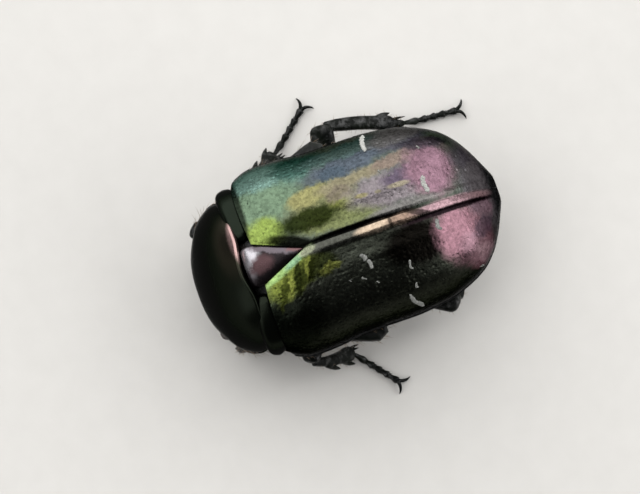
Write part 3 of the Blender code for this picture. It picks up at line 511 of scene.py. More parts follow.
def tarsus(ankle, toe):
    """Five beads that flare to their far ends, each with short spines there, and two claws."""
    ankle, toe = np.array(ankle), np.array(toe)
    flatly = unit((toe[0] - ankle[0], toe[1] - ankle[1], 0))
    across = np.cross(flatly, (0, 0, 1))
    heel = ankle + flatly * 0.1
    ends = np.cumsum((0, *TARSUS_SHARES)) * np.linalg.norm((toe - heel)[:2])
    heights = toe[2] + (heel[2] - 0.1 - toe[2]) * (1 - rise(0, ends[1] * 1.1, ends))
    shapes = [ellipsoid(ankle + (0, 0, 0.02), (0.17, 0.17, 0.17), 12, 16)]
    for i in range(len(TARSUS_SHARES)):
        a = np.array((*(heel + flatly * ends[i])[:2], heights[i]))
        b = np.array((*(heel + flatly * (ends[i + 1] + 0.05))[:2], heights[i + 1]))
        shapes.append(limb([a, b], TARSUS_GIRTH, TARSUS_GIRTH, across, sides=16, rows=22, corner=2.6))
        for lean in SPINE_LEANS:
            out = across * math.sin(lean) + np.array((0, 0, -0.55 * math.cos(lean)))
            root = a + (b - a) * 0.86 + out * 0.1
            tip = root + unit(flatly + out * 0.6) * SPINE_LENGTH
            tip[2] = max(tip[2], 0.02)
            shapes.append(spike(root, tip, SPINE_THICKNESS))
    for side in (1, -1):
        path, spot = [], toe - flatly * 0.12
        for share in np.linspace(0, 1, CLAW_STEPS + 1):
            path.append(spot + (0, 0, 0.13 * math.sin(math.pi * share) - 0.15 * share * share))
            turn = CLAW_SPREAD + CLAW_CURL * share
            step = flatly * math.cos(turn) + across * side * math.sin(turn)
            spot = spot + step * CLAW_LENGTH / CLAW_STEPS
        shapes.append(limb(path, CLAW_GIRTH, CLAW_GIRTH, across, sides=12, rows=24))
    return merge(shapes)


leg_chitin = make_black_chitin("rubbed_leg_chitin", 0.05, 0.33)
legs = {}
for name, (hip, knee, ankle, toe) in LEGS.items():
    kind, side = name.split("_")[0], 1 if hip[0] > 0 else -1
    outward = (side, -0.4 if kind == "front" else 0.2, 0)
    for part, shape in (
        ("coxa", coxa(kind, side, hip)),
        ("femur", femur(kind, FEMUR_REACH[name], hip, knee)),
        ("tibia", tibia(kind, TIBIA_BOW[name], outward, knee, ankle)),
        ("tarsus", tarsus(ankle, toe)),
    ):
        legs[part, name] = add_piece(f"{part}_{name}_skin", shape, leg_chitin, [f"{part}_{name}"])

# Prothorax
# The neck shield and the breast below it are one hard ring, bowed well down. Its back is smooth black
# chitin with a fine raised bead along the sides and a rolled hind edge, with a copper-pink highlight painted
# on it.

PRONOTUM_BASE_Y = -3.2
PRONOTUM_BASE_Z = 8.15
PRONOTUM_RADIUS = 6.6
PRONOTUM_BASE_SLOPE = math.radians(34)
PRONOTUM_TURN = math.radians(43)
PRONOTUM_NOTCH = 0.25
PRONOTUM_NOTCH_HALF_WIDTH = 0.85
pronotum_half_width = profile(((0.0, 3.85), (0.2, 3.95), (0.6, 3.55), (0.85, 2.85), (1.0, 2.3)))
pronotum_margin_y = profile(((0.0, -3.3), (0.5, -4.35), (1.0, -5.3)))
pronotum_margin_z = profile(((0.0, 5.3), (0.5, 4.35), (1.0, 3.75)))
PROTHORAX_BELLY = ((-2.45, -3.3), (3.45, 3.4))
PRONOTUM_POWERS = (2.4, 1.9)
BREAST_POWERS = (1.55, 1.55)
PRONOTUM_COLUMNS = 120
BREAST_COLUMNS = 60
BEAD_HEIGHT = 0.06
# The rolled hind edge and the cut front edge: (share, inset, push back) of each ring.
HIND_ROLL = ((0, 0.6, 0.2), (0, 0.22, 0.2), (0, 0.1, 0.17), (0, 0.03, 0.1), (0, 0, 0.04))
FRONT_EDGE = ((0.985, 0.03), (1.0, 0.12))


def prothorax_ring(share, inset=0.0, push=0.0):
    """A closed section, over the back from margin to margin and under the breast, set in and pushed back."""
    slope = PRONOTUM_BASE_SLOPE + PRONOTUM_TURN * share
    back_y = PRONOTUM_BASE_Y - PRONOTUM_RADIUS * (math.sin(slope) - math.sin(PRONOTUM_BASE_SLOPE))
    back_z = PRONOTUM_BASE_Z - PRONOTUM_RADIUS * (math.cos(PRONOTUM_BASE_SLOPE) - math.cos(slope))
    margin = float(pronotum_margin_y(share)), float(pronotum_margin_z(share))
    belly = [low + (high - low) * share for low, high in PROTHORAX_BELLY]
    wide = float(pronotum_half_width(share)) - inset
    turn = np.linspace(-1, 1, PRONOTUM_COLUMNS, endpoint=False)
    over, up = arch(np.abs(turn), *PRONOTUM_POWERS)
    x = wide * over * np.sign(turn)
    y = margin[0] + (back_y - margin[0]) * up
    z = margin[1] + (back_z - inset * math.cos(slope) - margin[1]) * up
    y = y - PRONOTUM_NOTCH * hump(x, 2 * PRONOTUM_NOTCH_HALF_WIDTH) * (1 - share) ** 6
    edge = (1 - np.abs(turn)) * wide
    bead = BEAD_HEIGHT * (hump(edge - 0.03, 0.11) - 0.7 * hump(edge - 0.2, 0.1))
    x, z = x + np.sign(turn) * bead * (1 - up), z + bead * up
    low_turn = np.linspace(1, -1, BREAST_COLUMNS, endpoint=False)
    low_over, down = arch(np.abs(low_turn), *BREAST_POWERS)
    low_x = wide * low_over * np.sign(low_turn)
    low_y = margin[0] + (belly[0] - margin[0]) * down
    low_z = margin[1] + (belly[1] + inset - margin[1]) * down
    return np.stack([np.concatenate(p) for p in ((x, low_x), (y + push, low_y + push), (z, low_z))], 1)


# The edge tint: layered chitin reflects less at a grazing angle than a metal does.
GRAZING_TINT = (0.3, 0.3, 0.3, 1)
# The painted copper-pink highlight on the hind edge, first its wide halo: (middle, reach, start, full,
# strength, colour).
PAINTED_COPPER_HIGHLIGHT = (
    ((-1.5, -3.5, 7.8), (2.3, 1.2, 1.6), 0.0, 0.8, 0.4, "#4a443a"),
    ((-1.5, -3.15, 7.85), (1.7, 0.5, 1.0), 0.16, 0.6, 1.0, "#9a7f7c"),
)
POLISHED_PIT_SPACING = 0.22


def make_polished_chitin(name, dark, light, copper):
    """Polished black chitin with a green cast. Where copper is 1, a copper-pink highlight is painted on its
    hind edge at the right, and where it is 0 none is."""
    made, tree, shader, place = start_material(name)
    cloud = add(tree, "TexNoise", {"Vector": place, "Scale": 0.4, "Detail": 2.0})
    color = add(tree, "Mix", {0: cloud, 6: to_linear(dark), 7: to_linear(light)}, data_type="RGBA")
    for middle, reach, start, full, strength, tone in PAINTED_COPPER_HIGHLIGHT:
        spot = add(tree, "Mapping", {"Vector": place, "Location": middle, "Scale": reach},
                   vector_type="TEXTURE")
        near = add(tree, "TexGradient", {"Vector": spot}, gradient_type="SPHERICAL").outputs["Fac"]
        share = add(tree, "MapRange", {"Value": near, "From Min": start, "From Max": full,
                                       "To Max": strength * copper}, interpolation_type="SMOOTHSTEP")
        color = add(tree, "Mix", {0: share, 6: color, 7: to_linear(tone)}, data_type="RGBA")
    pits = add(tree, "TexVoronoi", {"Vector": place, "Scale": 1 / POLISHED_PIT_SPACING, "Randomness": 0.85})
    pit = add(tree, "MapRange", {"Value": pits, "From Min": 0.05, "From Max": 0.2})
    bump = add(tree, "Bump", {"Height": pit, "Strength": 0.22, "Distance": 0.02 * MM})
    gloss = add(tree, "MapRange", {"Value": cloud, "To Min": 0.2, "To Max": 0.3})
    link(tree, shader, {"Base Color": color, "Metallic": 0.94, "Specular Tint": GRAZING_TINT,
                        "Roughness": gloss, "Normal": bump})
    return made


pronotum_rings = [prothorax_ring(*ring) for ring in HIND_ROLL]
pronotum_rings += [prothorax_ring(share) for share in np.linspace(0, 0.97, 90)]
pronotum_rings += [prothorax_ring(*ring) for ring in FRONT_EDGE]
pronotum_chitin = make_polished_chitin("polished_pronotum_chitin", "#131612", "#1a1e17", 1.0)
prothorax = add_piece("prothorax_skin", wrap(pronotum_rings), pronotum_chitin, ["prothorax"])

# Side plates: a small plate of the same polished chitin stands up from the breast at each side and fills
# the notch between the pronotum and the shoulder of the wing case. The right one is painted a little paler
# as painted light, and the left one takes the darker pronotum chitin as painted shade.

PLATE_X = (1.35, 4.42)
PLATE_Y = -2.83
PLATE_SWEEP = 0.12
PLATE_HALF_LENGTH = 0.55
PLATE_HALF_HEIGHT = 0.46
PLATE_ARCH_X = 4.6
PLATE_ARCH_Z = (5.5, 8.3)
PLATE_SINK = 0.36


def mesepimeron(side):
    """A pillow that follows the arch of the back, thinner towards both of its ends."""
    rings = []
    turn = np.linspace(0, 2 * math.pi, 28, endpoint=False)
    foot, top = PLATE_ARCH_Z
    for x in np.linspace(*PLATE_X, 36):
        share = (x - PLATE_X[0]) / (PLATE_X[1] - PLATE_X[0])
        fill = math.sqrt(max(1 - (2 * share - 1) ** 6, 0.01))
        angle = math.asin(min((x / PLATE_ARCH_X) ** 1.45, 1))
        crest = foot + (top - foot) * math.cos(angle) ** 0.95 - PLATE_SINK
        across = np.sign(np.cos(turn)) * np.abs(np.cos(turn)) ** 0.6
        y = PLATE_Y + PLATE_HALF_LENGTH * fill * across - PLATE_SWEEP * share
        z = crest - PLATE_HALF_HEIGHT + PLATE_HALF_HEIGHT * fill * np.sin(turn) + 0.25 * (y - PLATE_Y)
        rings.append(np.stack([np.full_like(y, side * x), y, z], 1))
    return wrap(rings)


lit_plate_chitin = make_polished_chitin("polished_side_plate_lit_chitin", "#151a14", "#1d221c", 0.0)
# Painted light and shade: the right plate gets the paler lit copy, the left one the darker pronotum chitin.
for name, side, finish in (("left", 1, pronotum_chitin), ("right", -1, lit_plate_chitin)):
    add_piece(f"mesepimeron_{name}_skin", mesepimeron(side), finish, [])

# Head
# The head hangs down from the front of the prothorax. It is a flat box of punctured black chitin with
# a turned-up rim and a notch at the mouth, eyes at its widest point, short feelers and palps.

HEAD_NECK_Y = -4.7
HEAD_NECK_Z = 3.42
HEAD_PITCH = math.radians(76)
HEAD_LENGTH = 2.75
head_back = profile(((0.0, 0.5), (0.1, 0.85), (0.3, 1.0), (0.6, 0.72), (1.0, 0.36)))
head_throat = profile(((0.0, 0.5), (0.12, 0.75), (0.35, 0.8), (0.7, 0.4), (1.0, 0.0)))
head_half_width = profile(((0.0, 1.0), (0.1, 1.38), (0.25, 1.55), (0.48, 1.25), (0.8, 1.22), (1.0, 1.02)))
HEAD_COLUMNS = 96
HEAD_CORNER = 2.7
RIM_HEIGHT = 0.1
BROW_HEIGHT = 0.1
CLYPEUS_SEAM = 0.025
MOUTH_NOTCH = 0.14
# The canthus is the short ridge that runs across each eye.
CANTHUS_GIRTH = ((0, 0.12), (0.5, 0.1), (1, 0.04))
CANTHUS_PATH = ((1.2, 0.86, 0.45), (1.62, 0.8, 0.4), (1.95, 0.72, 0.22))


def head_point(x, along, out):
    """Points of the head: sideways, down its length from the neck, and out of its front."""
    down = np.array((0, -math.cos(HEAD_PITCH), -math.sin(HEAD_PITCH)))
    front = np.array((0, -math.sin(HEAD_PITCH), math.cos(HEAD_PITCH)))
    x, along, out = np.broadcast_arrays(*(np.asarray(c, float) for c in (x, along, out)))
    spot = np.stack([x, np.full(x.shape, HEAD_NECK_Y), np.full(x.shape, HEAD_NECK_Z)], -1)
    return spot + along[..., None] * down + out[..., None] * front


def head_ring(share, inset=0.0):
    wide, back, throat = (float(f(share)) - inset for f in (head_half_width, head_back, head_throat))
    turn = 2 * math.pi * (np.arange(HEAD_COLUMNS) + 0.5) / HEAD_COLUMNS
    c, s = (np.sign(f) * np.abs(f) ** (2 / HEAD_CORNER) for f in (np.cos(turn), np.sin(turn)))
    x, out = wide * c, s * np.where(s > 0, back, throat)
    rim = rise(0.6, 1.0, share) * rise(0.7, 1.0, np.abs(x) / wide) + rise(0.85, 1.0, share)
    brow = hump(x, 0.4) * rise(0.1, 0.3, share) * (1 - rise(0.45, 0.75, share))
    seam = hump(share - 0.42 - 0.06 * np.abs(x), 0.03)
    out = out + np.where(s > 0, RIM_HEIGHT * rim + BROW_HEIGHT * brow - CLYPEUS_SEAM * seam, 0)
    along = HEAD_LENGTH * share - MOUTH_NOTCH * hump(x, 0.7) * rise(0.8, 1.0, share)
    return head_point(x, along, out)


head_rings = [head_ring(share) for share in np.linspace(0, 0.985, 80)]
head_rings += [head_ring(1.0, 0.02), head_ring(1.0, 0.1)]
head_shapes = [wrap(head_rings)]
for side in (1, -1):
    path = [head_point(side * x, along, out) for x, along, out in CANTHUS_PATH]
    head_shapes.append(limb(path, CANTHUS_GIRTH, scaled(CANTHUS_GIRTH, 0.7), (0, 0, 1), sides=12, rows=14))
head = add_piece("head_skin", merge(head_shapes), black_chitin, ["head"])

# The neck is a ring of soft black skin, which closes the joint between the head and the prothorax.

NECK_MIDDLE = (0, -4.4, 3.5)
NECK_RADII = (1.25, 0.6, 0.5)
add_piece("neck_membrane", ellipsoid(NECK_MIDDLE, NECK_RADII), black_chitin, [])

# Each compound eye is a dome of some thousand lenses, brown-black and silky, set in the head's side. The
# lenses are about 0.025 mm wide. They are drawn at 0.05 mm, so that the grain of the dome shows at all.

SIDES = (("left", 1), ("right", -1))
EYE_RADIUS = 0.46
EYE_SPOT = (1.5, 0.58, 0.15)
LENS_WIDTH = 0.05


def make_eye_lenses():
    """Clear lens cuticle over dark pigment, which gives a soft brown glow and a grainy shine."""
    made, tree, shader, place = start_material("compound_eye_lenses")
    cells = add(tree, "TexVoronoi", {"Vector": place, "Scale": 1 / LENS_WIDTH, "Randomness": 0.15})
    color = add(tree, "Mix", {0: cells, 6: to_linear("#24140c"), 7: to_linear("#0e0906")}, data_type="RGBA")
    bump = add(tree, "Bump", {"Height": cells, "Strength": 0.25, "Distance": 0.02 * MM}, invert=True)
    gloss = add(tree, "MapRange", {"Value": cells, "To Min": 0.16, "To Max": 0.3})
    link(tree, shader, {"Base Color": color, "IOR": CHITIN_IOR, "Coat Weight": 0.1, "Coat Roughness": 0.12,
                        "Roughness": gloss, "Normal": bump})
    return made


eye_lenses = make_eye_lenses()
for name, side in SIDES:
    dome = ellipsoid(head_point(side * EYE_SPOT[0], *EYE_SPOT[1:]), (EYE_RADIUS,) * 3, 40, 56)
    add_piece(f"eye_{name}_dome", dome, eye_lenses, [f"eye_{name}"])

# Each feeler has a long first joint, six small beads and a club of three leaves. The palps beside the
# mouth are three beads each. Both are thin brown chitin with a dull, silky skin.

SCAPE_GIRTH = 0.19
SMALL_BEADS = 6
SMALL_BEAD_GIRTH = 0.13
CLUB_LENGTH = 1.25
LAMELLA_SPREAD = math.radians(19)
LAMELLA_GAP = 0.13
LAMELLA_HALF_WIDTHS = ((0, 0.08), (0.08, 0.16), (0.35, 0.3), (0.7, 0.31), (0.93, 0.18), (1, 0.04))
LAMELLA_HALF_DEPTHS = ((0, 0.05), (0.1, 0.09), (0.5, 0.085), (0.93, 0.06), (1, 0.02))
PALP_GIRTH = 0.17
PALP_PATH = ((0.95, 1.9, -0.85), (1.15, 2.3, -0.98), (1.3, 2.7, -0.8), (1.32, 2.95, -0.6))


def make_brown_chitin():
    """Thin, half-tanned chitin: dark brown with redder, lighter tips and a satin skin of tiny hairs."""
    made, tree, shader, place = start_material("brown_feeler_chitin")
    cloud = add(tree, "TexNoise", {"Vector": place, "Scale": 2.2, "Detail": 3.0})
    tone = add(tree, "ValToRGB", {"Fac": cloud})
    for stop, spot, color in zip(tone.color_ramp.elements, (0.35, 0.68), ("#170c08", "#2e170e")):
        stop.position, stop.color = spot, to_linear(color)
    grain = add(tree, "TexNoise", {"Vector": place, "Scale": 22.0, "Detail": 3.0})
    bump = add(tree, "Bump", {"Height": grain, "Strength": 0.4, "Distance": 0.015 * MM})
    gloss = add(tree, "MapRange", {"Value": grain, "To Min": 0.34, "To Max": 0.55})
    link(tree, shader, {"Base Color": tone, "IOR": CHITIN_IOR, "Sheen Weight": 0.06, "Sheen Roughness": 0.4,
                        "Roughness": gloss, "Normal": bump})
    return made


def bead(a, b, thick, flare=1.15):
    """One joint of a feeler or palp, widest near its far end."""
    girth = scaled(((0, 0.4), (0.12, 0.75), (0.7, flare), (0.92, 0.9), (1, 0.3)), thick)
    return limb([a, b], girth, girth, (0.2, 1, 0.1), sides=16, rows=16)


def antenna(side):
    root = head_point(side * 1.22, 1.38, -0.3) + (side * 0.4, 0, 0)
    elbow = root + (side * 0.42, -0.35, -0.1)
    tip = elbow + (side * 0.1, -0.35, -0.5)
    shapes = [bead(root - (side * 0.3, 0, 0), elbow, SCAPE_GIRTH, 1.25)]
    for i in range(SMALL_BEADS):
        ends = (i / SMALL_BEADS - 0.04, (i + 1) / SMALL_BEADS + 0.04)
        near, far = (elbow + (tip - elbow) * share for share in ends)
        shapes.append(bead(near, far, SMALL_BEAD_GIRTH + 0.012 * i))
    lie, face = unit((side * 0.1, 0.1, -0.99)), unit((side * 0.99, 0, 0.1))
    for i in (-1, 0, 1):
        turn = Matrix.Rotation(i * LAMELLA_SPREAD, 3, Vector(np.cross(face, lie)))
        run, thin = np.array(turn @ Vector(lie)), np.array(turn @ Vector(face))
        start = tip - run * (0.1 + 0.03 * i) + face * LAMELLA_GAP * i
        shapes.append(limb([start, start + run * CLUB_LENGTH], LAMELLA_HALF_WIDTHS, LAMELLA_HALF_DEPTHS,
                           np.cross(thin, run), sides=24, rows=26))
    return merge(shapes)


def palp(side):
    path = [head_point(side * x, along, out) for x, along, out in PALP_PATH]
    ends = [there + unit(there - here) * 0.05 for here, there in zip(path, path[1:])]
    return merge([bead(path[i], ends[i], PALP_GIRTH - 0.01 * i) for i in range(len(ends))])


brown_chitin = make_brown_chitin()
for name, side in SIDES:
    add_piece(f"antenna_{name}_skin", antenna(side), brown_chitin, [f"antenna_{name}"])
    add_piece(f"palp_{name}_skin", palp(side), brown_chitin, [f"palp_{name}"])

# The plate of the lower lip closes the mouth from below. Like the head it is punctured black chitin.

LIP_STATIONS = ((0.95, 0.4), (1.7, 0.36), (2.3, 0.24))
LIP_DROP = 0.42
LIP_HALF_WIDTHS = ((0, 0.3), (0.06, 0.55), (0.5, 0.56), (0.9, 0.42), (1, 0.25))
LIP_HALF_DEPTHS = ((0, 0.2), (0.06, 0.36), (0.5, 0.34), (0.9, 0.22), (1, 0.1))
lip_path = []
for along, deep in LIP_STATIONS:
    lip_path.append(head_point(0, along, -float(head_throat(along / HEAD_LENGTH)) - LIP_DROP - deep * 0.7))
lip = limb(lip_path, LIP_HALF_WIDTHS, LIP_HALF_DEPTHS, (1, 0, 0), sides=40, rows=36, corner=2.6)
add_piece("lower_lip_skin", lip, black_chitin, ["lower_lip"])

# Scutellum
# The small shield between the roots of the wing cases is a polished, slightly domed triangle of purple
# bronze chitin. Its front slopes down under the pronotum, and its edges are finely rolled.

SCUTELLUM_Y = (-3.1, 0.02)
SCUTELLUM_THICKNESS = 0.5
SCUTELLUM_CROWN = 0.24
SCUTELLUM_ROLL = 0.09
SCUTELLUM_ROLL_WIDTH = 0.12
scutellum_half_width = profile((
    (-3.1, 0.9), (-2.95, 1.02), (-2.7, 1.06), (-2.4, 1.04), (-1.225, 0.54), (-0.2, 0.1), (0.02, 0.02),
))
scutellum_drop = profile((
    (-3.1, 0.32), (-2.98, 0.18), (-2.8, 0.08), (-2.6, 0.03), (-2.4, 0.01), (-1.8, 0.0), (-0.3, 0.0),
    (0.02, 0.05),
))


def scutellum_ring(y):
    t, under = np.linspace(-1, 1, 49), np.linspace(1, -1, 9)
    wide, high = float(scutellum_half_width(y)), float(top_height(y)) - float(scutellum_drop(y))
    past = (np.abs(t) * wide - (wide - SCUTELLUM_ROLL_WIDTH)) / SCUTELLUM_ROLL_WIDTH
    crown = high - SCUTELLUM_CROWN * wide * t * t - SCUTELLUM_ROLL * np.clip(past, 0, 1) ** 2
    x = np.concatenate([t * wide, under * wide * 0.97])
    z = np.concatenate([crown, np.full(len(under), high - SCUTELLUM_THICKNESS)])
    return np.stack([x, np.full_like(x, y), z], 1)


# Painted highlights and reflections on the shield's own dark violet, as soft patches: (x, y, half width,
# half length, lean, colour, strength): pale grey-white on the front slope, pink in the middle and at the
# tip, grey-violet along the right edge. SHIELD_RETURN is the share of light they send back.
SHIELD_GROUND = "#2b2427"
SHIELD_RETURN = 0.4
SHIELD_PAINTED_HIGHLIGHTS = (
    (-0.2, -2.95, 1.0, 0.6, 0, "#8f898e", 1.0),
    (-0.5, -2.85, 0.85, 0.8, 0, "#f2eef4", 1.0),
    (0.05, -2.28, 0.55, 0.85, -10, "#604649", 1.0),
    (-0.46, -1.35, 0.3, 2.2, 23, "#80767d", 1.0),
    (-0.09, -0.32, 0.2, 0.7, 14, "#8f6d6e", 1.0),
)


def paint(tree, color, x, y, patches):
    """color overlaid with soft patches, each (x, y, half width, half length, lean, colour, strength)."""
    flat = add(tree, "CombineXYZ", {"X": x, "Y": y})
    for at_x, at_y, reach_x, reach_y, lean, tone, strength in patches:
        spot = add(tree, "Mapping", {"Vector": flat, "Location": (at_x, at_y, 0),
                                     "Rotation": (0, 0, math.radians(-lean)),
                                     "Scale": (reach_x, reach_y, 1)}, vector_type="TEXTURE")
        near = add(tree, "TexGradient", {"Vector": spot}, gradient_type="SPHERICAL").outputs["Fac"]
        share = add(tree, "MapRange", {"Value": near, "From Max": 0.5, "To Max": strength},
                    interpolation_type="SMOOTHSTEP")
        color = add(tree, "Mix", {0: share, 6: color, 7: to_linear(tone)}, data_type="RGBA")
    return color


def wander(tree, place, steps):
    """The flat position with its x and y pushed about by noise, one (scale, reach in mm) after another."""
    for scale, reach in steps:
        noise = add(tree, "TexNoise", {"Vector": place, "Scale": scale, "Detail": 4.0, "Roughness": 0.65})
        push = add(tree, "VectorMath", {0: noise.outputs["Color"], 1: (0.5, 0.5, 0.5)}, operation="SUBTRACT")
        place = add(tree, "VectorMath", {0: push, 1: (reach,) * 3, 2: place}, operation="MULTIPLY_ADD")
    return add(tree, "SeparateXYZ", {"Vector": place}).outputs[:2]


def make_scutellum_bronze():
    """Polished bronze-purple cuticle of a dark violet, with painted highlights and reflections in its
    colour: pale in front, pink and grey-violet along its right edge and tip.
    """
    made, tree, shader, place = start_material("scutellum_bronze_painted_highlights")
    tone = paint(tree, to_linear(SHIELD_GROUND), *wander(tree, place, ((2.5, 0.5),)), SHIELD_PAINTED_HIGHLIGHTS)
    tone = add(tree, "VectorMath", {0: tone, "Scale": SHIELD_RETURN}, operation="SCALE")
    cloud = add(tree, "TexNoise", {"Vector": place, "Scale": 2.2, "Detail": 5.0, "Roughness": 0.6})
    bump = add(tree, "Bump", {"Height": cloud, "Strength": 0.3, "Distance": 0.05 * MM})
    gloss = add(tree, "MapRange", {"Value": cloud, "To Min": 0.2, "To Max": 0.36})
    link(tree, shader, {"Base Color": tone, "Metallic": 0.85, "Roughness": gloss, "Normal": bump})
    return made


scutellum_rings = [scutellum_ring(y) for y in np.linspace(*SCUTELLUM_Y, 90)]
add_piece("scutellum_skin", wrap(scutellum_rings), make_scutellum_bronze(), ["scutellum"])

# Wing cases
# The fore wings, hardened into two shells that meet along the suture. Each has a raised sutural ridge,
# a long hollow beside it, two faint ribs, a shoulder knob, an end knob and a beaded outer edge. Their
# skin is thin layers of chitin over black, punctured, and the layers reflect colour like a metal.

ELYTRON_FRONT_Y = -2.55
ELYTRON_APEX_Y = 10.25
ELYTRON_THICKNESS = 0.3
SUTURE_HALF_GAP = 0.008
SHIELD_GAP = 0.03
SHIELD_FRONT_Y = -2.45
SHIELD_HALF_WIDTH = 1.05
SHIELD_ROLL = 0.04
SUTURE_RIDGE = 0.1
SUTURE_FURROW = 0.055
# The furrow beside the suture is deep on the left shell and has this share of its depth on the right.
RIGHT_FURROW = 0.2
LONG_HOLLOW = 0.02
RIB_HEIGHT = 0.022
# The shoulder knob and the end knob: (x, y, reach, height).
KNOBS = ((3.3, -1.2, 1.2, 0.16), (2.8, 8.35, 1.4, 0.34))
ELYTRON_COLUMNS = 150
ELYTRON_ROWS = 330
LINING_COLUMNS = 24
PUNCTURE_SPACING = 0.27
PUNCTURE_RADIUS = 0.075
PUNCTURE_DEPTH = 0.035


def shield_side(y):
    """How far from the midline the scutellum's side lies, and 0 behind its tip."""
    return np.interp(y, (SHIELD_FRONT_Y, 0), (SHIELD_HALF_WIDTH, 0))


def relief(x, y):
    """How far the wing case stands out of its plain arch: ridges, ribs, knobs, furrow and long hollow."""

    def between(start, full, fade, end):
        return rise(start, full, y) * (1 - rise(fade, end, y))

    deep = np.where(x > 0, 1, RIGHT_FURROW)
    x = np.abs(x)
    ridge = SUTURE_RIDGE * rise(-0.06, 0.3, x) * (1 - rise(0.34, 0.56, x)) * between(0.0, 1.2, 8.8, 9.6)
    furrow = SUTURE_FURROW * deep * hump(x - 0.52, 0.13) * between(3.6, 5.2, 9.2, 9.7)
    inner = RIB_HEIGHT * hump(x - 1.4, 0.36) * between(1.5, 3.0, 6.2, 7.4)
    outer = RIB_HEIGHT * hump(x - 2.65, 0.36) * between(0.8, 2.4, 7.0, 8.2)
    hollow = LONG_HOLLOW * hump(x - 0.95, 0.75) * between(0.2, 3.0, 6.8, 8.4)
    roll = SHIELD_ROLL * hump(x - shield_side(y), 0.24) * between(-2.4, -2.0, -0.4, 0.1)
    made = ridge + inner + outer - roll - hollow - furrow
    for knob_x, knob_y, reach, height in KNOBS:
        made = made + height * hump(np.hypot(x - knob_x, y - knob_y), reach)
    return made


def inner_edge(y):
    """How far a wing case keeps from the midline: the suture, or the scutellum's side."""
    return np.maximum(SUTURE_HALF_GAP, shield_side(y) + SHIELD_GAP * (y < 0))


def punctures(u, v, seed, chance):
    """Depth of scattered pits, from 0 to 1, at arc positions u, v in millimetres."""
    draw = np.random.RandomState(seed)
    cells = int(max(u.max(), v.max() - v.min()) / PUNCTURE_SPACING) + 4
    offset = draw.uniform(0.15, 0.85, (cells, cells, 2))
    there = draw.uniform(0, 1, (cells, cells))
    size = draw.uniform(0.75, 1.15, (cells, cells))
    a, b = u / PUNCTURE_SPACING + 1, (v - v.min()) / PUNCTURE_SPACING + 1
    depth = np.zeros_like(u)
    for di in (-1, 0, 1):
        for dj in (-1, 0, 1):
            i, j = np.clip(a.astype(int) + di, 0, cells - 1), np.clip(b.astype(int) + dj, 0, cells - 1)
            far = np.hypot(a - i - offset[i, j, 0], b - j - offset[i, j, 1]) * PUNCTURE_SPACING
            pit = hump(far, PUNCTURE_RADIUS * size[i, j]) * (there[i, j] < chance)
            depth = np.maximum(depth, pit)
    return depth


# The beaded outer edge, as a raised and a sunk line: (distance from the edge, half width, height). The
# distance is counted as if the arch of a shell, from suture to edge, were ARCH_LENGTH long.
OUTER_BEAD = ((0.05, 0.12, 0.05), (0.24, 0.12, -0.04))
ARCH_LENGTH = 5.0


def elytron_sheet(side, inset, columns):
    """Rows of points over a wing case, from its front edge to its tip, set in by inset."""
    share = (np.sin(math.pi / 2 * np.linspace(0, 1, ELYTRON_ROWS)) ** 1.15)[:, None]
    across = np.linspace(0, 1, columns)[None, :]
    bow = 0.3 * (1 - share) ** 3 * (np.abs(across - 0.4) / 0.6) ** 2
    y = ELYTRON_FRONT_Y + (ELYTRON_APEX_Y - inset - ELYTRON_FRONT_Y) * share + bow
    wide, high, foot = half_width(y) - inset, top_height(y) - inset, margin_height(y)
    first = np.arcsin(np.minimum((inner_edge(y) / wide) ** (BACK_POWERS[0] / 2), 1)) * 2 / math.pi
    sideways, upward = arch(first + (1 - first) * across**1.1, *BACK_POWERS)
    x = wide * sideways
    z = foot + (high - foot) * upward + relief(side * x, y) * upward
    if inset == 0:
        edge = (1 - across) * ARCH_LENGTH
        x = x + sum(height * hump(edge - at, reach) for at, reach, height in OUTER_BEAD)
    return np.stack([side * x, y + 0 * x, z], -1)


def crescent(first, outer, inner):
    """Faces across the thickness of a shell's end, between its outer row of points and its lining's."""
    a = list(range(first, first + outer))
    b = list(range(first + outer + inner - 1, first + outer - 1, -1))
    faces, i, j = [], 0, 0
    while i < outer - 1 or j < inner - 1:
        if j == inner - 1 or (i < outer - 1 and (i + 1) * (inner - 1) <= (j + 1) * (outer - 1)):
            faces.append([a[i], a[i + 1], b[j]])
            i += 1
        else:
            faces.append([a[i], b[j + 1], b[j]])
            j += 1
    return faces


def elytron(side, seed):
    """One wing case with its punctures and lining, and each point's distance from the outer edge."""
    sheet = elytron_sheet(side, 0, ELYTRON_COLUMNS)
    steps = np.linalg.norm(np.diff(sheet, axis=1), axis=2)
    u = np.concatenate([np.zeros((ELYTRON_ROWS, 1)), np.cumsum(steps, axis=1)], 1)
    x, y = np.abs(sheet[..., 0]), sheet[..., 1]
    disc = hump(x - 2.3, 1.6) * rise(-1.0, 1.0, y) * (1 - rise(5.0, 7.0, y))
    chance = (0.12 + 0.25 * (1 - rise(5.5, 7.0, y)) + 0.5 * disc) * rise(0.45, 0.7, x)
    normal = np.cross(np.gradient(sheet, axis=0), np.gradient(sheet, axis=1)) * -side
    normal /= np.linalg.norm(normal, axis=2)[..., None] + 1e-12
    sheet = sheet - normal * (punctures(u, y, seed, chance) * PUNCTURE_DEPTH)[..., None]
    lining = elytron_sheet(side, ELYTRON_THICKNESS, LINING_COLUMNS)
    to_edge = np.minimum(u[:, -1:] - u, (ELYTRON_APEX_Y - y) * 1.6)
    from_edge = np.concatenate([to_edge, 0 * lining[..., 0]], 1)
    points, faces = wrap(np.concatenate([sheet, lining[:, ::-1]], 1))
    last = (ELYTRON_ROWS - 1) * (ELYTRON_COLUMNS + LINING_COLUMNS)
    ends = [face for row in (0, last) for face in crescent(row, ELYTRON_COLUMNS, LINING_COLUMNS)]
    return (points, faces[:-2] + ends), from_edge
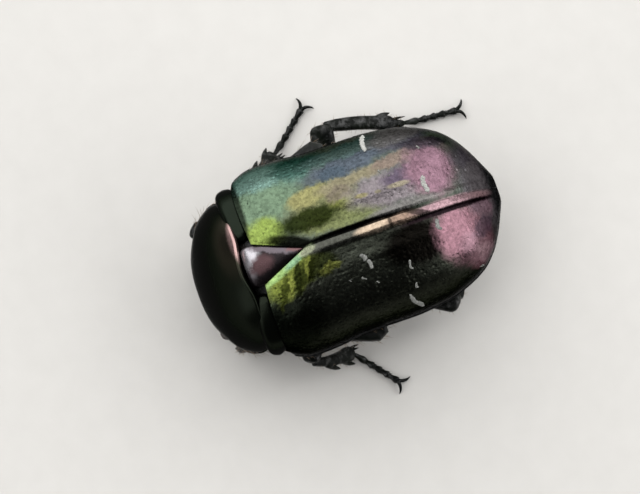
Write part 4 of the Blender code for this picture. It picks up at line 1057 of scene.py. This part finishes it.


# Colours on the shells, as soft patches: (x, y, half width, half length, lean, colour, strength). They hold
# the layers' own hue and painted light with it: painted highlights where a shell faced a lamp, painted shade
# where it faced the dark room or lies in the hollow. LAYER_RETURN is the share of light they send back. The
# first list has x counted outward from the suture on both shells, and the second repaints the left shell,
# with painted shade over its disc and painted highlights on its green folds and pink end knob.
GROUND_COLOR = "#6b7569"
RIM_COLOR = "#4c4d4e"
LAYER_RETURN = 0.38
FLAKE_SIZE = 0.14
HUE_AND_PAINTED_LIGHT_PATCHES = (
    (3.9, -0.8, 1.1, 3.4, 0, "#6f9489", 0.95),
    (2.7, -1.3, 1.4, 2.7, 0, "#839c80", 0.95),
    (4.15, -1.2, 0.9, 1.9, 0, "#9cc4b8", 0.9),
    (4.1, 0.9, 0.7, 1.8, 0, "#4c7066", 0.9),
    (1.25, -1.7, 1.1, 1.5, 0, "#a6bd62", 1.0),
    (1.9, 1.6, 1.1, 2.4, 4, "#919368", 0.85),
    (0.75, 2.2, 0.7, 2.9, -3, "#959d66", 0.9),
    (1.65, 2.6, 0.6, 0.9, 0, "#a2a85a", 0.9),
    (2.3, 1.0, 0.6, 1.5, 4, "#aba772", 0.95),
    (2.45, 3.4, 0.45, 2.6, 4, "#a0987c", 0.95),
    (2.7, 5.7, 0.45, 1.8, 6, "#a08e82", 0.9),
    (1.95, 2.5, 0.5, 0.9, 0, "#8a8070", 0.9),
    (1.4, 4.9, 1.1, 2.8, 0, "#a1979b", 0.95),
    (1.75, 5.7, 0.65, 1.3, 0, "#6c5f72", 0.9),
    (3.3, 3.3, 0.7, 2.9, 4, "#66707c", 0.95),
    (3.1, 2.5, 0.45, 0.9, 4, "#5a6874", 0.9),
    (4.05, 3.4, 0.5, 3.0, 3, "#66807c", 0.8),
    (3.6, 6.4, 0.6, 1.7, 8, "#6a6876", 0.8),
    (4.1, 6.2, 0.8, 2.2, 8, "#8c8a8a", 0.9),
    (0.0, 9.6, 4.4, 1.7, 0, "#8a848a", 0.9),
    (1.75, 7.15, 1.9, 1.65, 0, "#9a7886", 1.0),
    (3.1, 7.2, 0.4, 1.7, -8, "#4a4650", 0.8),
    (1.85, 8.75, 0.7, 0.7, 0, "#5f5a6a", 0.4),
    # Painted shade in the long hollow beside the suture.
    (1.25, 0.75, 0.75, 2.2, 0, "#2b3512", 0.95),
)
LEFT_PAINTED_SHADE_AND_HIGHLIGHTS = (
    # Painted shade: the left disc, flank and front corner darkened, as they face the dark room.
    (2.2, 3.0, 3.2, 8.0, 0, "#50544a", 1.0),
    (4.7, 2.0, 2.3, 11.0, 0, "#42453c", 1.0),
    (3.3, -1.7, 1.8, 2.2, 0, "#1e221b", 0.9),
    (1.6, 5.3, 1.5, 2.4, 0, "#1a1815", 1.0),
    # Painted highlights and painted shadows on the green folds beside the shield.
    (1.2, -1.0, 1.0, 2.0, -22, "#93a04c", 1.0),
    (1.0, 0.4, 0.8, 1.2, 0, "#343b1c", 0.9),
    (1.7, -1.6, 0.24, 1.2, -62, "#565f28", 0.9),
    (1.3, -0.75, 0.26, 1.1, -78, "#363e1a", 0.95),
    (1.2, -0.05, 0.22, 0.9, -66, "#2c3213", 0.95),
    (1.3, -0.4, 0.28, 0.7, -72, "#3a421e", 0.85),
    (1.55, -1.25, 0.2, 0.8, -70, "#c2cc64", 0.7),
    (0.95, -0.2, 0.18, 0.7, -74, "#a0a850", 0.7),
    (1.3, 0.9, 0.24, 0.8, -10, "#8a9048", 0.8),
    # Painted highlights on the pink end knob and by the suture, with painted shade past the knob.
    (1.9, 7.7, 1.9, 1.8, -8, "#b58894", 1.0),
    (2.7, 8.2, 1.1, 1.2, 20, "#b8909c", 1.0),
    (3.1, 8.75, 0.7, 0.9, 20, "#e8c0cc", 0.9),
    (4.2, 9.5, 1.5, 1.6, 30, "#4c4a4c", 0.95),
    (1.75, 8.8, 0.45, 0.9, -40, "#766676", 0.7),
    (0.75, 9.1, 0.7, 0.8, 0, "#a88a98", 0.9),
)
# Narrow streaks of painted highlight and painted shadow along edges and ribs, with x signed: the sutural
# bands, the dark seam, the shield's bright rim on the left shell and the light crests of the inner rib on
# the right one.
PAINTED_HIGHLIGHT_AND_SHADOW_STREAKS = (
    # Painted shadow beside the shield on the right shell and along the seam.
    (-0.5, -0.55, 0.42, 1.6, 24, "#0d0f08", 0.95),
    (-0.1, 2.7, 0.24, 4.4, 0, "#0d0d0a", 1.0),
    # Painted highlights on the sutural bands, grey on the right shell, grey, peach and pink on the left.
    (-0.36, 5.4, 0.26, 2.4, 0, "#928e8c", 0.8),
    (0.22, 1.6, 0.36, 2.6, 0, "#66675f", 1.0),
    (0.22, 3.7, 0.36, 1.4, 0, "#f0d8bc", 1.0),
    (0.22, 5.1, 0.36, 1.2, 0, "#b09684", 1.0),
    (0.2, 7.8, 0.34, 2.7, 0, "#c8a4ab", 1.0),
    # Painted shade in the furrow by the left sutural band, and a dark break in the band.
    (0.25, 6.0, 0.2, 1.3, 24, "#2a2422", 0.8),
    (0.22, 4.4, 0.4, 0.12, 0, "#3a322a", 0.8),
    (0.5, 7.4, 0.2, 3.6, -2, "#2a2024", 1.0),
    # Painted highlight on the shield's rolled rim on the left shell.
    (0.68, -1.2, 0.27, 2.0, -23, "#b4d888", 1.0),
    (0.48, -0.7, 0.22, 0.8, -23, "#a0cca0", 0.9),
    (0.2, 0.08, 0.24, 0.6, -15, "#b4ba9c", 1.0),
    # Painted shade along the right shell's front edge, which faces away from the lamps.
    (-3.0, -2.55, 2.6, 0.4, 0, "#1d211b", 0.9),
    # Painted highlights on the crests of the inner rib on the right shell.
    (-1.47, 3.5, 0.16, 0.45, 4, "#a29a70", 0.9),
    (-1.4, 4.35, 0.12, 0.22, 0, "#a09878", 0.7),
    (-1.42, 5.4, 0.18, 0.75, 1, "#b0a68e", 0.9),
)


def make_elytron_layers():
    """Layered chitin over black: a dark metal whose hue turns with the layers' thickness, green at the
    front, gold and violet in the middle, pink on the end knobs, with painted highlights and painted shade
    laid into that colour. Punctures and ripples break the shine."""
    made, tree, shader, place = start_material("layered_elytron_chitin_painted_light")
    ripple = add(tree, "TexNoise", {"Vector": place, "Scale": 1.6, "Detail": 4.0, "Roughness": 0.65})
    x, y = wander(tree, place, ((1.6, 0.75), (7.0, 0.3)))
    mirror = add(tree, "Math", {0: x}, operation="ABSOLUTE")
    still_x, still_y = wander(tree, place, ((5.0, 0.12),))
    color = to_linear(GROUND_COLOR)
    for patches, u, v in ((HUE_AND_PAINTED_LIGHT_PATCHES, mirror, y), (LEFT_PAINTED_SHADE_AND_HIGHLIGHTS, x, y), (PAINTED_HIGHLIGHT_AND_SHADOW_STREAKS, still_x, still_y)):
        color = paint(tree, color, u, v, patches)
    edge = add(tree, "Attribute", attribute_name="from_edge").outputs["Fac"]
    inner = add(tree, "MapRange", {"Value": edge, "From Min": 0.4, "From Max": 1.2},
                interpolation_type="SMOOTHSTEP")
    color = add(tree, "Mix", {0: inner, 6: to_linear(RIM_COLOR), 7: color}, data_type="RGBA")
    fleck = add(tree, "TexNoise", {"Vector": place, "Scale": 7.0, "Detail": 5.0, "Roughness": 0.7})
    flake = add(tree, "TexVoronoi", {"Vector": place, "Scale": 1 / FLAKE_SIZE}).outputs["Color"]
    spark = add(tree, "Math", {0: flake, 1: 0.35, 2: fleck}, operation="MULTIPLY_ADD")
    glint = add(tree, "MapRange", {"Value": spark, "From Min": 0.4, "From Max": 0.95,
                                   "To Min": 0.6 * LAYER_RETURN, "To Max": 1.4 * LAYER_RETURN})
    color = add(tree, "VectorMath", {0: color, "Scale": glint}, operation="SCALE")
    height = add(tree, "Math", {0: fleck, 1: 0.35, 2: ripple}, operation="MULTIPLY_ADD")
    bump = add(tree, "Bump", {"Height": height, "Strength": 0.65, "Distance": 0.06 * MM})
    gloss = add(tree, "MapRange", {"Value": fleck, "To Min": 0.2, "To Max": 0.36})
    link(tree, shader, {"Base Color": color, "Metallic": 1.0, "Specular Tint": GRAZING_TINT,
                        "Roughness": gloss, "Normal": bump})
    return made


elytron_layers = make_elytron_layers()
for name, side, seed in (("left", 1, 11), ("right", -1, 23)):
    shape, from_edge = elytron(side, seed)
    case = add_piece(f"elytron_{name}_skin", shape, elytron_layers, [f"elytron_{name}"], sharp=60)
    case.data.attributes.new("from_edge", "FLOAT", "POINT").data.foreach_set("value", from_edge.ravel())

# A tongue on the left shell fills the joint along the suture, as tongue and groove lock the shells.

TONGUE_Y = (0.06, 10.2)
TONGUE_HALF_WIDTH = 0.0075
TONGUE_TOP = 0.06
TONGUE_FOOT = 0.34
tongue_rings = []
for y in np.linspace(*TONGUE_Y, 120):
    crest = float(top_height(y))
    corners = ((-1, TONGUE_TOP), (1, TONGUE_TOP), (1, TONGUE_FOOT), (-1, TONGUE_FOOT))
    tongue_rings.append([(side * TONGUE_HALF_WIDTH, y, crest - deep) for side, deep in corners])
add_piece("suture_tongue", wrap(tongue_rings), black_chitin, [])

# White marks: thin crusts of pale wax scales that dry on the wing cases in short cross lines, painted paler
# on the right one as painted light and greyer on the left one as painted shade. Each is (start, end, width),
# with x signed, and lies on the shell.

WAX_THICKNESS = 0.05
WAX_STEPS = 40
WAX_MARKS = (
    ((-4.55, 4.6), (-3.62, 4.33), 0.23), ((-1.46, 6.65), (-0.6, 6.58), 0.25),
    ((-2.41, 4.78), (-2.21, 4.73), 0.09), ((-2.03, 5.14), (-1.94, 5.12), 0.08),
    ((-3.02, 6.98), (-2.87, 6.94), 0.08), ((0.8, 6.54), (1.37, 6.64), 0.21),
    ((1.22, 2.55), (1.6, 2.68), 0.2), ((1.62, 2.72), (2.06, 2.86), 0.2),
    ((2.29, 4.64), (2.72, 4.76), 0.12), ((3.43, 4.58), (3.64, 4.67), 0.12),
    ((3.88, 4.12), (4.55, 4.62), 0.2), ((2.3, 2.21), (2.52, 2.27), 0.09),
    ((2.25, 1.64), (2.34, 1.61), 0.08), ((2.75, 2.92), (2.84, 2.89), 0.08),
    ((3.54, 8.13), (3.62, 8.13), 0.08),
)


def shell_height(x, y):
    wide, high, foot = half_width(y), top_height(y), margin_height(y)
    inward = np.clip(1 - np.clip(np.abs(x) / wide, 0, 1) ** BACK_POWERS[0], 0, 1)
    upward = np.sqrt(inward) ** (2 / BACK_POWERS[1])
    return foot + (high - foot) * upward + relief(x, y) * upward


def shell_point(x, y, lift):
    """Points on the outside of a wing case, lifted off it."""
    z, step = shell_height(x, y), 0.01
    slope_x, slope_y = (shell_height(x + step, y) - z) / step, (shell_height(x, y + step) - z) / step
    normal = np.stack([-slope_x, -slope_y, np.ones_like(z)], -1)
    normal /= np.linalg.norm(normal, axis=-1)[..., None]
    return np.stack([x, y, z], -1) + normal * lift[..., None]


def wax_mark(start, end, width, draw):
    """A crust along a slightly winding line, with an uneven width and thickness."""
    start, end = np.array(start), np.array(end)
    length = np.linalg.norm(end - start)
    run, out = (end - start) / length, np.array((-(end - start)[1], (end - start)[0])) / length
    s = np.linspace(-0.03, 1.03, WAX_STEPS)
    centre = 0.05 * np.sin(s * 5 + draw.uniform(0, 6)) + np.cumsum(draw.normal(0, 0.006, WAX_STEPS))
    taper = np.clip(1 - np.abs(2 * s - 1) ** 6, 0.05, 1) ** 0.5
    half = width / 2 * taper * (1 + draw.normal(0, 0.18, WAX_STEPS))
    turn = np.linspace(0, 2 * math.pi, 16, endpoint=False)
    flat = start + run * (s * length)[:, None] + out * centre[:, None]
    at = flat[:, None] + out * (half[:, None] * np.cos(turn))[..., None]
    uneven = np.sin(turn) * (1 + draw.normal(0, 0.25, (WAX_STEPS, len(turn))))
    lift = WAX_THICKNESS * uneven * np.minimum(1, half[:, None] / 0.05)
    return wrap(shell_point(at[..., 0], at[..., 1], lift))


def make_wax_scales(name, thin, full):
    """Dried wax and scale hairs: palest where the crust is full, quite rough, greyer where it is thin."""
    made, tree, shader, place = start_material(name)
    grain = add(tree, "TexNoise", {"Vector": place, "Scale": 16.0, "Detail": 4.0, "Roughness": 0.7})
    tone = add(tree, "ValToRGB", {"Fac": grain})
    for stop, spot, color in zip(tone.color_ramp.elements, (0.35, 0.6), (thin, full)):
        stop.position, stop.color = spot, to_linear(color)
    bump = add(tree, "Bump", {"Height": grain, "Strength": 0.8, "Distance": 0.04 * MM})
    rough = add(tree, "MapRange", {"Value": grain, "To Min": 0.75, "To Max": 0.95})
    link(tree, shader, {"Base Color": tone, "IOR": 1.45, "Roughness": rough, "Normal": bump})
    return made


wax_draw = np.random.RandomState(5)
# The left marks take greyer tones as painted shade and the right ones paler tones as painted light.
shaded_wax = make_wax_scales("shaded_wax_scales", "#5a5b57", "#8b8c88")
lit_wax = make_wax_scales("lit_wax_scales", "#7a7a75", "#a8a9a4")
for name, side, finish in (("left", 1, shaded_wax), ("right", -1, lit_wax)):
    marks = [wax_mark(*mark, wax_draw) for mark in WAX_MARKS if mark[0][0] * side > 0]
    add_piece(f"wax_marks_{name}", merge(marks), finish, [])

# Bristles
# Stiff golden-brown hairs on the breast, the belly's edge, the thighs and shins and round the mouth.
# Each grows from a pore and tapers to a point, 0.2 to 0.7 mm long.


def make_bristle_chitin():
    """Hair-thin tanned chitin: translucent golden brown, so the bristles glow where light passes them."""
    made, tree, shader, place = start_material("golden_bristle_chitin")
    cloud = add(tree, "TexNoise", {"Vector": place, "Scale": 1.5, "Detail": 2.0})
    tone = add(tree, "Mix", {0: cloud, 6: to_linear("#4a3520"), 7: to_linear("#7c6038")}, data_type="RGBA")
    rough = add(tree, "MapRange", {"Value": cloud, "To Min": 0.35, "To Max": 0.55})
    link(tree, shader, {"Base Color": tone, "IOR": CHITIN_IOR, "Sheen Weight": 0.3, "Roughness": rough})
    return made


bristle_chitin = make_bristle_chitin()


def comb(pieces, count, draw, keep):
    """Roots and normals scattered evenly over the pieces' skins, count a square millimetre, where
    keep(points, normals) allows."""
    roots, normals = [], []
    for made in pieces:
        mesh = made.data
        mesh.calc_loop_triangles()
        corners = np.empty(len(mesh.loop_triangles) * 3, int)
        mesh.loop_triangles.foreach_get("vertices", corners)
        at = np.empty(len(mesh.vertices) * 3)
        mesh.vertices.foreach_get("co", at)
        tri = ((at.reshape(-1, 3) - np.array(BEETLE_ORIGIN)) / MM)[corners.reshape(-1, 3)]
        cross = np.cross(tri[:, 1] - tri[:, 0], tri[:, 2] - tri[:, 0])
        area = np.linalg.norm(cross, axis=1)
        normal = cross / (area[:, None] + 1e-12)
        ok = keep(tri.mean(1), normal) * area
        pick = draw.choice(len(tri), int(count / 2 * ok.sum()), p=ok / ok.sum())
        a, b = draw.uniform(0, 1, (2, len(pick), 1))
        flip = a + b > 1
        a, b = np.where(flip, 1 - a, a), np.where(flip, 1 - b, b)
        roots.append(tri[pick, 0] * (1 - a - b) + tri[pick, 1] * a + tri[pick, 2] * b)
        normals.append(normal[pick])
    return np.concatenate(roots), np.concatenate(normals)


def bristles(name, roots, lays, lengths, thick, draw):
    """Bent, tapered bristles as slim three-sided spikes, rooted just under the skin."""
    count = len(roots)
    lays = lays / np.linalg.norm(lays, axis=1)[:, None]
    other = np.cross(lays, draw.normal(0, 1, (count, 3)))
    other /= np.linalg.norm(other, axis=1)[:, None]
    third = np.cross(lays, other)
    sag = other * (lengths * draw.uniform(0.0, 0.2, count))[:, None]
    points = []
    for share, girth in ((-0.06, 1.0), (0.5, 0.7)):
        centre = roots + lays * (lengths * share)[:, None] + sag * share * share
        for turn in np.arange(3) * (2 * math.pi / 3):
            points.append(centre + (other * math.cos(turn) + third * math.sin(turn)) * thick * girth)
    points.append(roots + lays * lengths[:, None] + sag)
    at = np.stack(points, 1).reshape(-1, 3)
    one = ((0, 1, 4, 3), (1, 2, 5, 4), (2, 0, 3, 5), (3, 4, 6), (4, 5, 6), (5, 3, 6), (2, 1, 0))
    faces = [[v + 7 * i for v in face] for i in range(count) for face in one]
    return add_piece(name, (at, faces), bristle_chitin, [], sharp=180)


# Each comb of bristles: its name, the pieces it grows on, its count a square millimetre, where it grows,
# how far its hairs stand up, how much they scatter and which way they lie, their shortest and longest
# lengths, their half thickness and their slot.
COMBS = (
    ("shins", [legs["tibia", name] for name in LEGS], 18, lambda p, n: n[:, 2] < 0.5,
     0.6, 0.18, (0, 0, -0.7), (0.2, 0.38), 0.009, "legs"),
    ("thighs", [legs["femur", name] for name in LEGS], 18, lambda p, n: n[:, 2] < -0.2,
     0.7, 0.2, (0, 0.5, -0.2), (0.25, 0.45), 0.012, "legs"),
    ("breast", [thorax, prothorax], 18,
     lambda p, n: (n[:, 2] < 0.1) & (p[:, 2] < 5.2) & (p[:, 1] > -5.0) & (np.abs(p[:, 0]) > 0.7),
     0.6, 0.2, (0, 0.7, -0.1), (0.35, 0.7), 0.013, "cuticle"),
    ("belly", [abdomen, pygidium], 8,
     lambda p, n: (n[:, 2] < 0.3) & (np.abs(p[:, 0]) > 1.6) & (p[:, 1] > 3.4),
     0.4, 0.15, (0, 0.8, 0), (0.25, 0.4), 0.011, "cuticle"),
    ("mouth", [head], 24, lambda p, n: (n[:, 1] > -0.2) & (p[:, 2] < 2.6),
     0.6, 0.2, (0, -0.1, -0.6), (0.2, 0.4), 0.011, "cuticle"),
)
draw = np.random.RandomState(71)
for name, pieces, count, keep, stand, scatter, lie, reach, thick, slot in COMBS:
    roots, normals = comb(pieces, count, draw, keep)
    lays = normals * stand + draw.normal(0, scatter, roots.shape) + np.array(lie)
    bristles(f"bristles_{name}", roots, lays, draw.uniform(*reach, len(roots)), thick, draw)

# Floor, light and camera
# A plain pale floor under plain soft studio light. A broad soft light stands at the beetle's right, a
# smaller one behind it and a tall narrow one in front, so the dark metal has one light side and one dark.

FLOOR_HALF = 1.0


def make_floor_paper():
    """Matt off-white studio paper, with a faint fibre."""
    made, tree, shader, place = start_material("matt_floor_paper")
    fibre = add(tree, "TexNoise", {"Vector": place, "Scale": 0.8, "Detail": 5.0})
    tone = add(tree, "Mix", {0: fibre, 6: to_linear("#b9b7b3"), 7: to_linear("#c0beba")}, data_type="RGBA")
    bump = add(tree, "Bump", {"Height": fibre, "Strength": 0.1, "Distance": 0.05 * MM})
    link(tree, shader, {"Base Color": tone, "Roughness": 0.9, "Specular IOR Level": 0.2, "Normal": bump})
    return made


floor_mesh = bpy.data.meshes.new("floor")
floor_corners = [(x * FLOOR_HALF, y * FLOOR_HALF, 0) for x, y in ((-1, -1), (1, -1), (1, 1), (-1, 1))]
floor_mesh.from_pydata(floor_corners, [], [(0, 1, 2, 3)])
floor_mesh.materials.append(make_floor_paper())
floor = bpy.data.objects.new("floor", floor_mesh)
bpy.context.scene.collection.objects.link(floor)

LIGHT_AIM = Vector((0, 0, 0.006))
LIGHT_DISTANCE = 0.3


def softbox(name, azimuth, elevation, width, height, radiance):
    """A soft area light that faces the beetle. Azimuth 0 stands in front of it and 90 at its right."""
    a, e = math.radians(azimuth), math.radians(elevation)
    way = Vector((-math.sin(a) * math.cos(e), -math.cos(a) * math.cos(e), math.sin(e)))
    data = bpy.data.lights.new(name, "AREA")
    data.shape, data.size, data.size_y = "RECTANGLE", width, height
    data.energy = radiance * math.pi * width * height
    light = bpy.data.objects.new(name, data)
    light.location = LIGHT_AIM + way * LIGHT_DISTANCE
    light.visible_camera = False
    light.rotation_euler = (-way).to_track_quat("-Z", "Y").to_euler()
    bpy.context.scene.collection.objects.link(light)


softbox("right_light", 92, 44, 0.9, 0.56, 2.6)
softbox("rear_light", 194, 28, 0.42, 0.24, 2.8)
softbox("front_light", 350, 38, 0.14, 0.42, 1.8)

# The room gives a dim light, and the camera sees it as a pale wall.
DIM_ROOM = (0.08, 0.08, 0.085, 1)
world = bpy.data.worlds.new("studio")
world.use_nodes = True
bpy.context.scene.world = world
room = world.node_tree
seen = add(room, "LightPath").outputs["Is Camera Ray"]
tone = add(room, "Mix", {0: seen, 6: DIM_ROOM, 7: to_linear("#dcdbd8")}, data_type="RGBA")
link(room, room.nodes["Background"], {"Color": tone})
bpy.context.scene.view_settings.view_transform = "Standard"

# The camera looks straight down on the beetle, rolled 5 degrees towards its left side, with the head at
# the left of the picture and the body turned 19.5 degrees. The scutellum's tip lies near the middle.

PICTURE = (640, 494)
PIXEL = 1.0 / 20.4
TIP_PIXEL = (304, 247.5)
TIP_Z = 8.9
CAMERA_DISTANCE = 110.0
BODY_TURN = math.radians(19.5)
BODY_ROLL = math.radians(5)
SENSOR_WIDTH = 36
right = Vector((math.sin(BODY_TURN), math.cos(BODY_TURN), 0))
up = Vector((-math.cos(BODY_TURN), math.sin(BODY_TURN), 0))
roll = Matrix.Rotation(BODY_ROLL, 3, "Y")
right, up, toward = roll @ right, roll @ up, roll @ Vector((0, 0, 1))
across, down = (PICTURE[0] / 2 - TIP_PIXEL[0]) * PIXEL, (TIP_PIXEL[1] - PICTURE[1] / 2) * PIXEL
centre = Vector((0, 0, TIP_Z)) + right * across + up * down
camera_data = bpy.data.cameras.new("camera")
camera_data.sensor_width = SENSOR_WIDTH
camera_data.lens = SENSOR_WIDTH * CAMERA_DISTANCE / (PICTURE[0] * PIXEL)
camera_data.clip_start, camera_data.clip_end = 0.001, 10
camera = bpy.data.objects.new("camera", camera_data)
camera.matrix_world = Matrix((right, up, toward)).transposed().to_4x4()
camera.location = BEETLE_ORIGIN + (centre + toward * CAMERA_DISTANCE) * MM
bpy.context.scene.collection.objects.link(camera)
bpy.context.scene.camera = camera
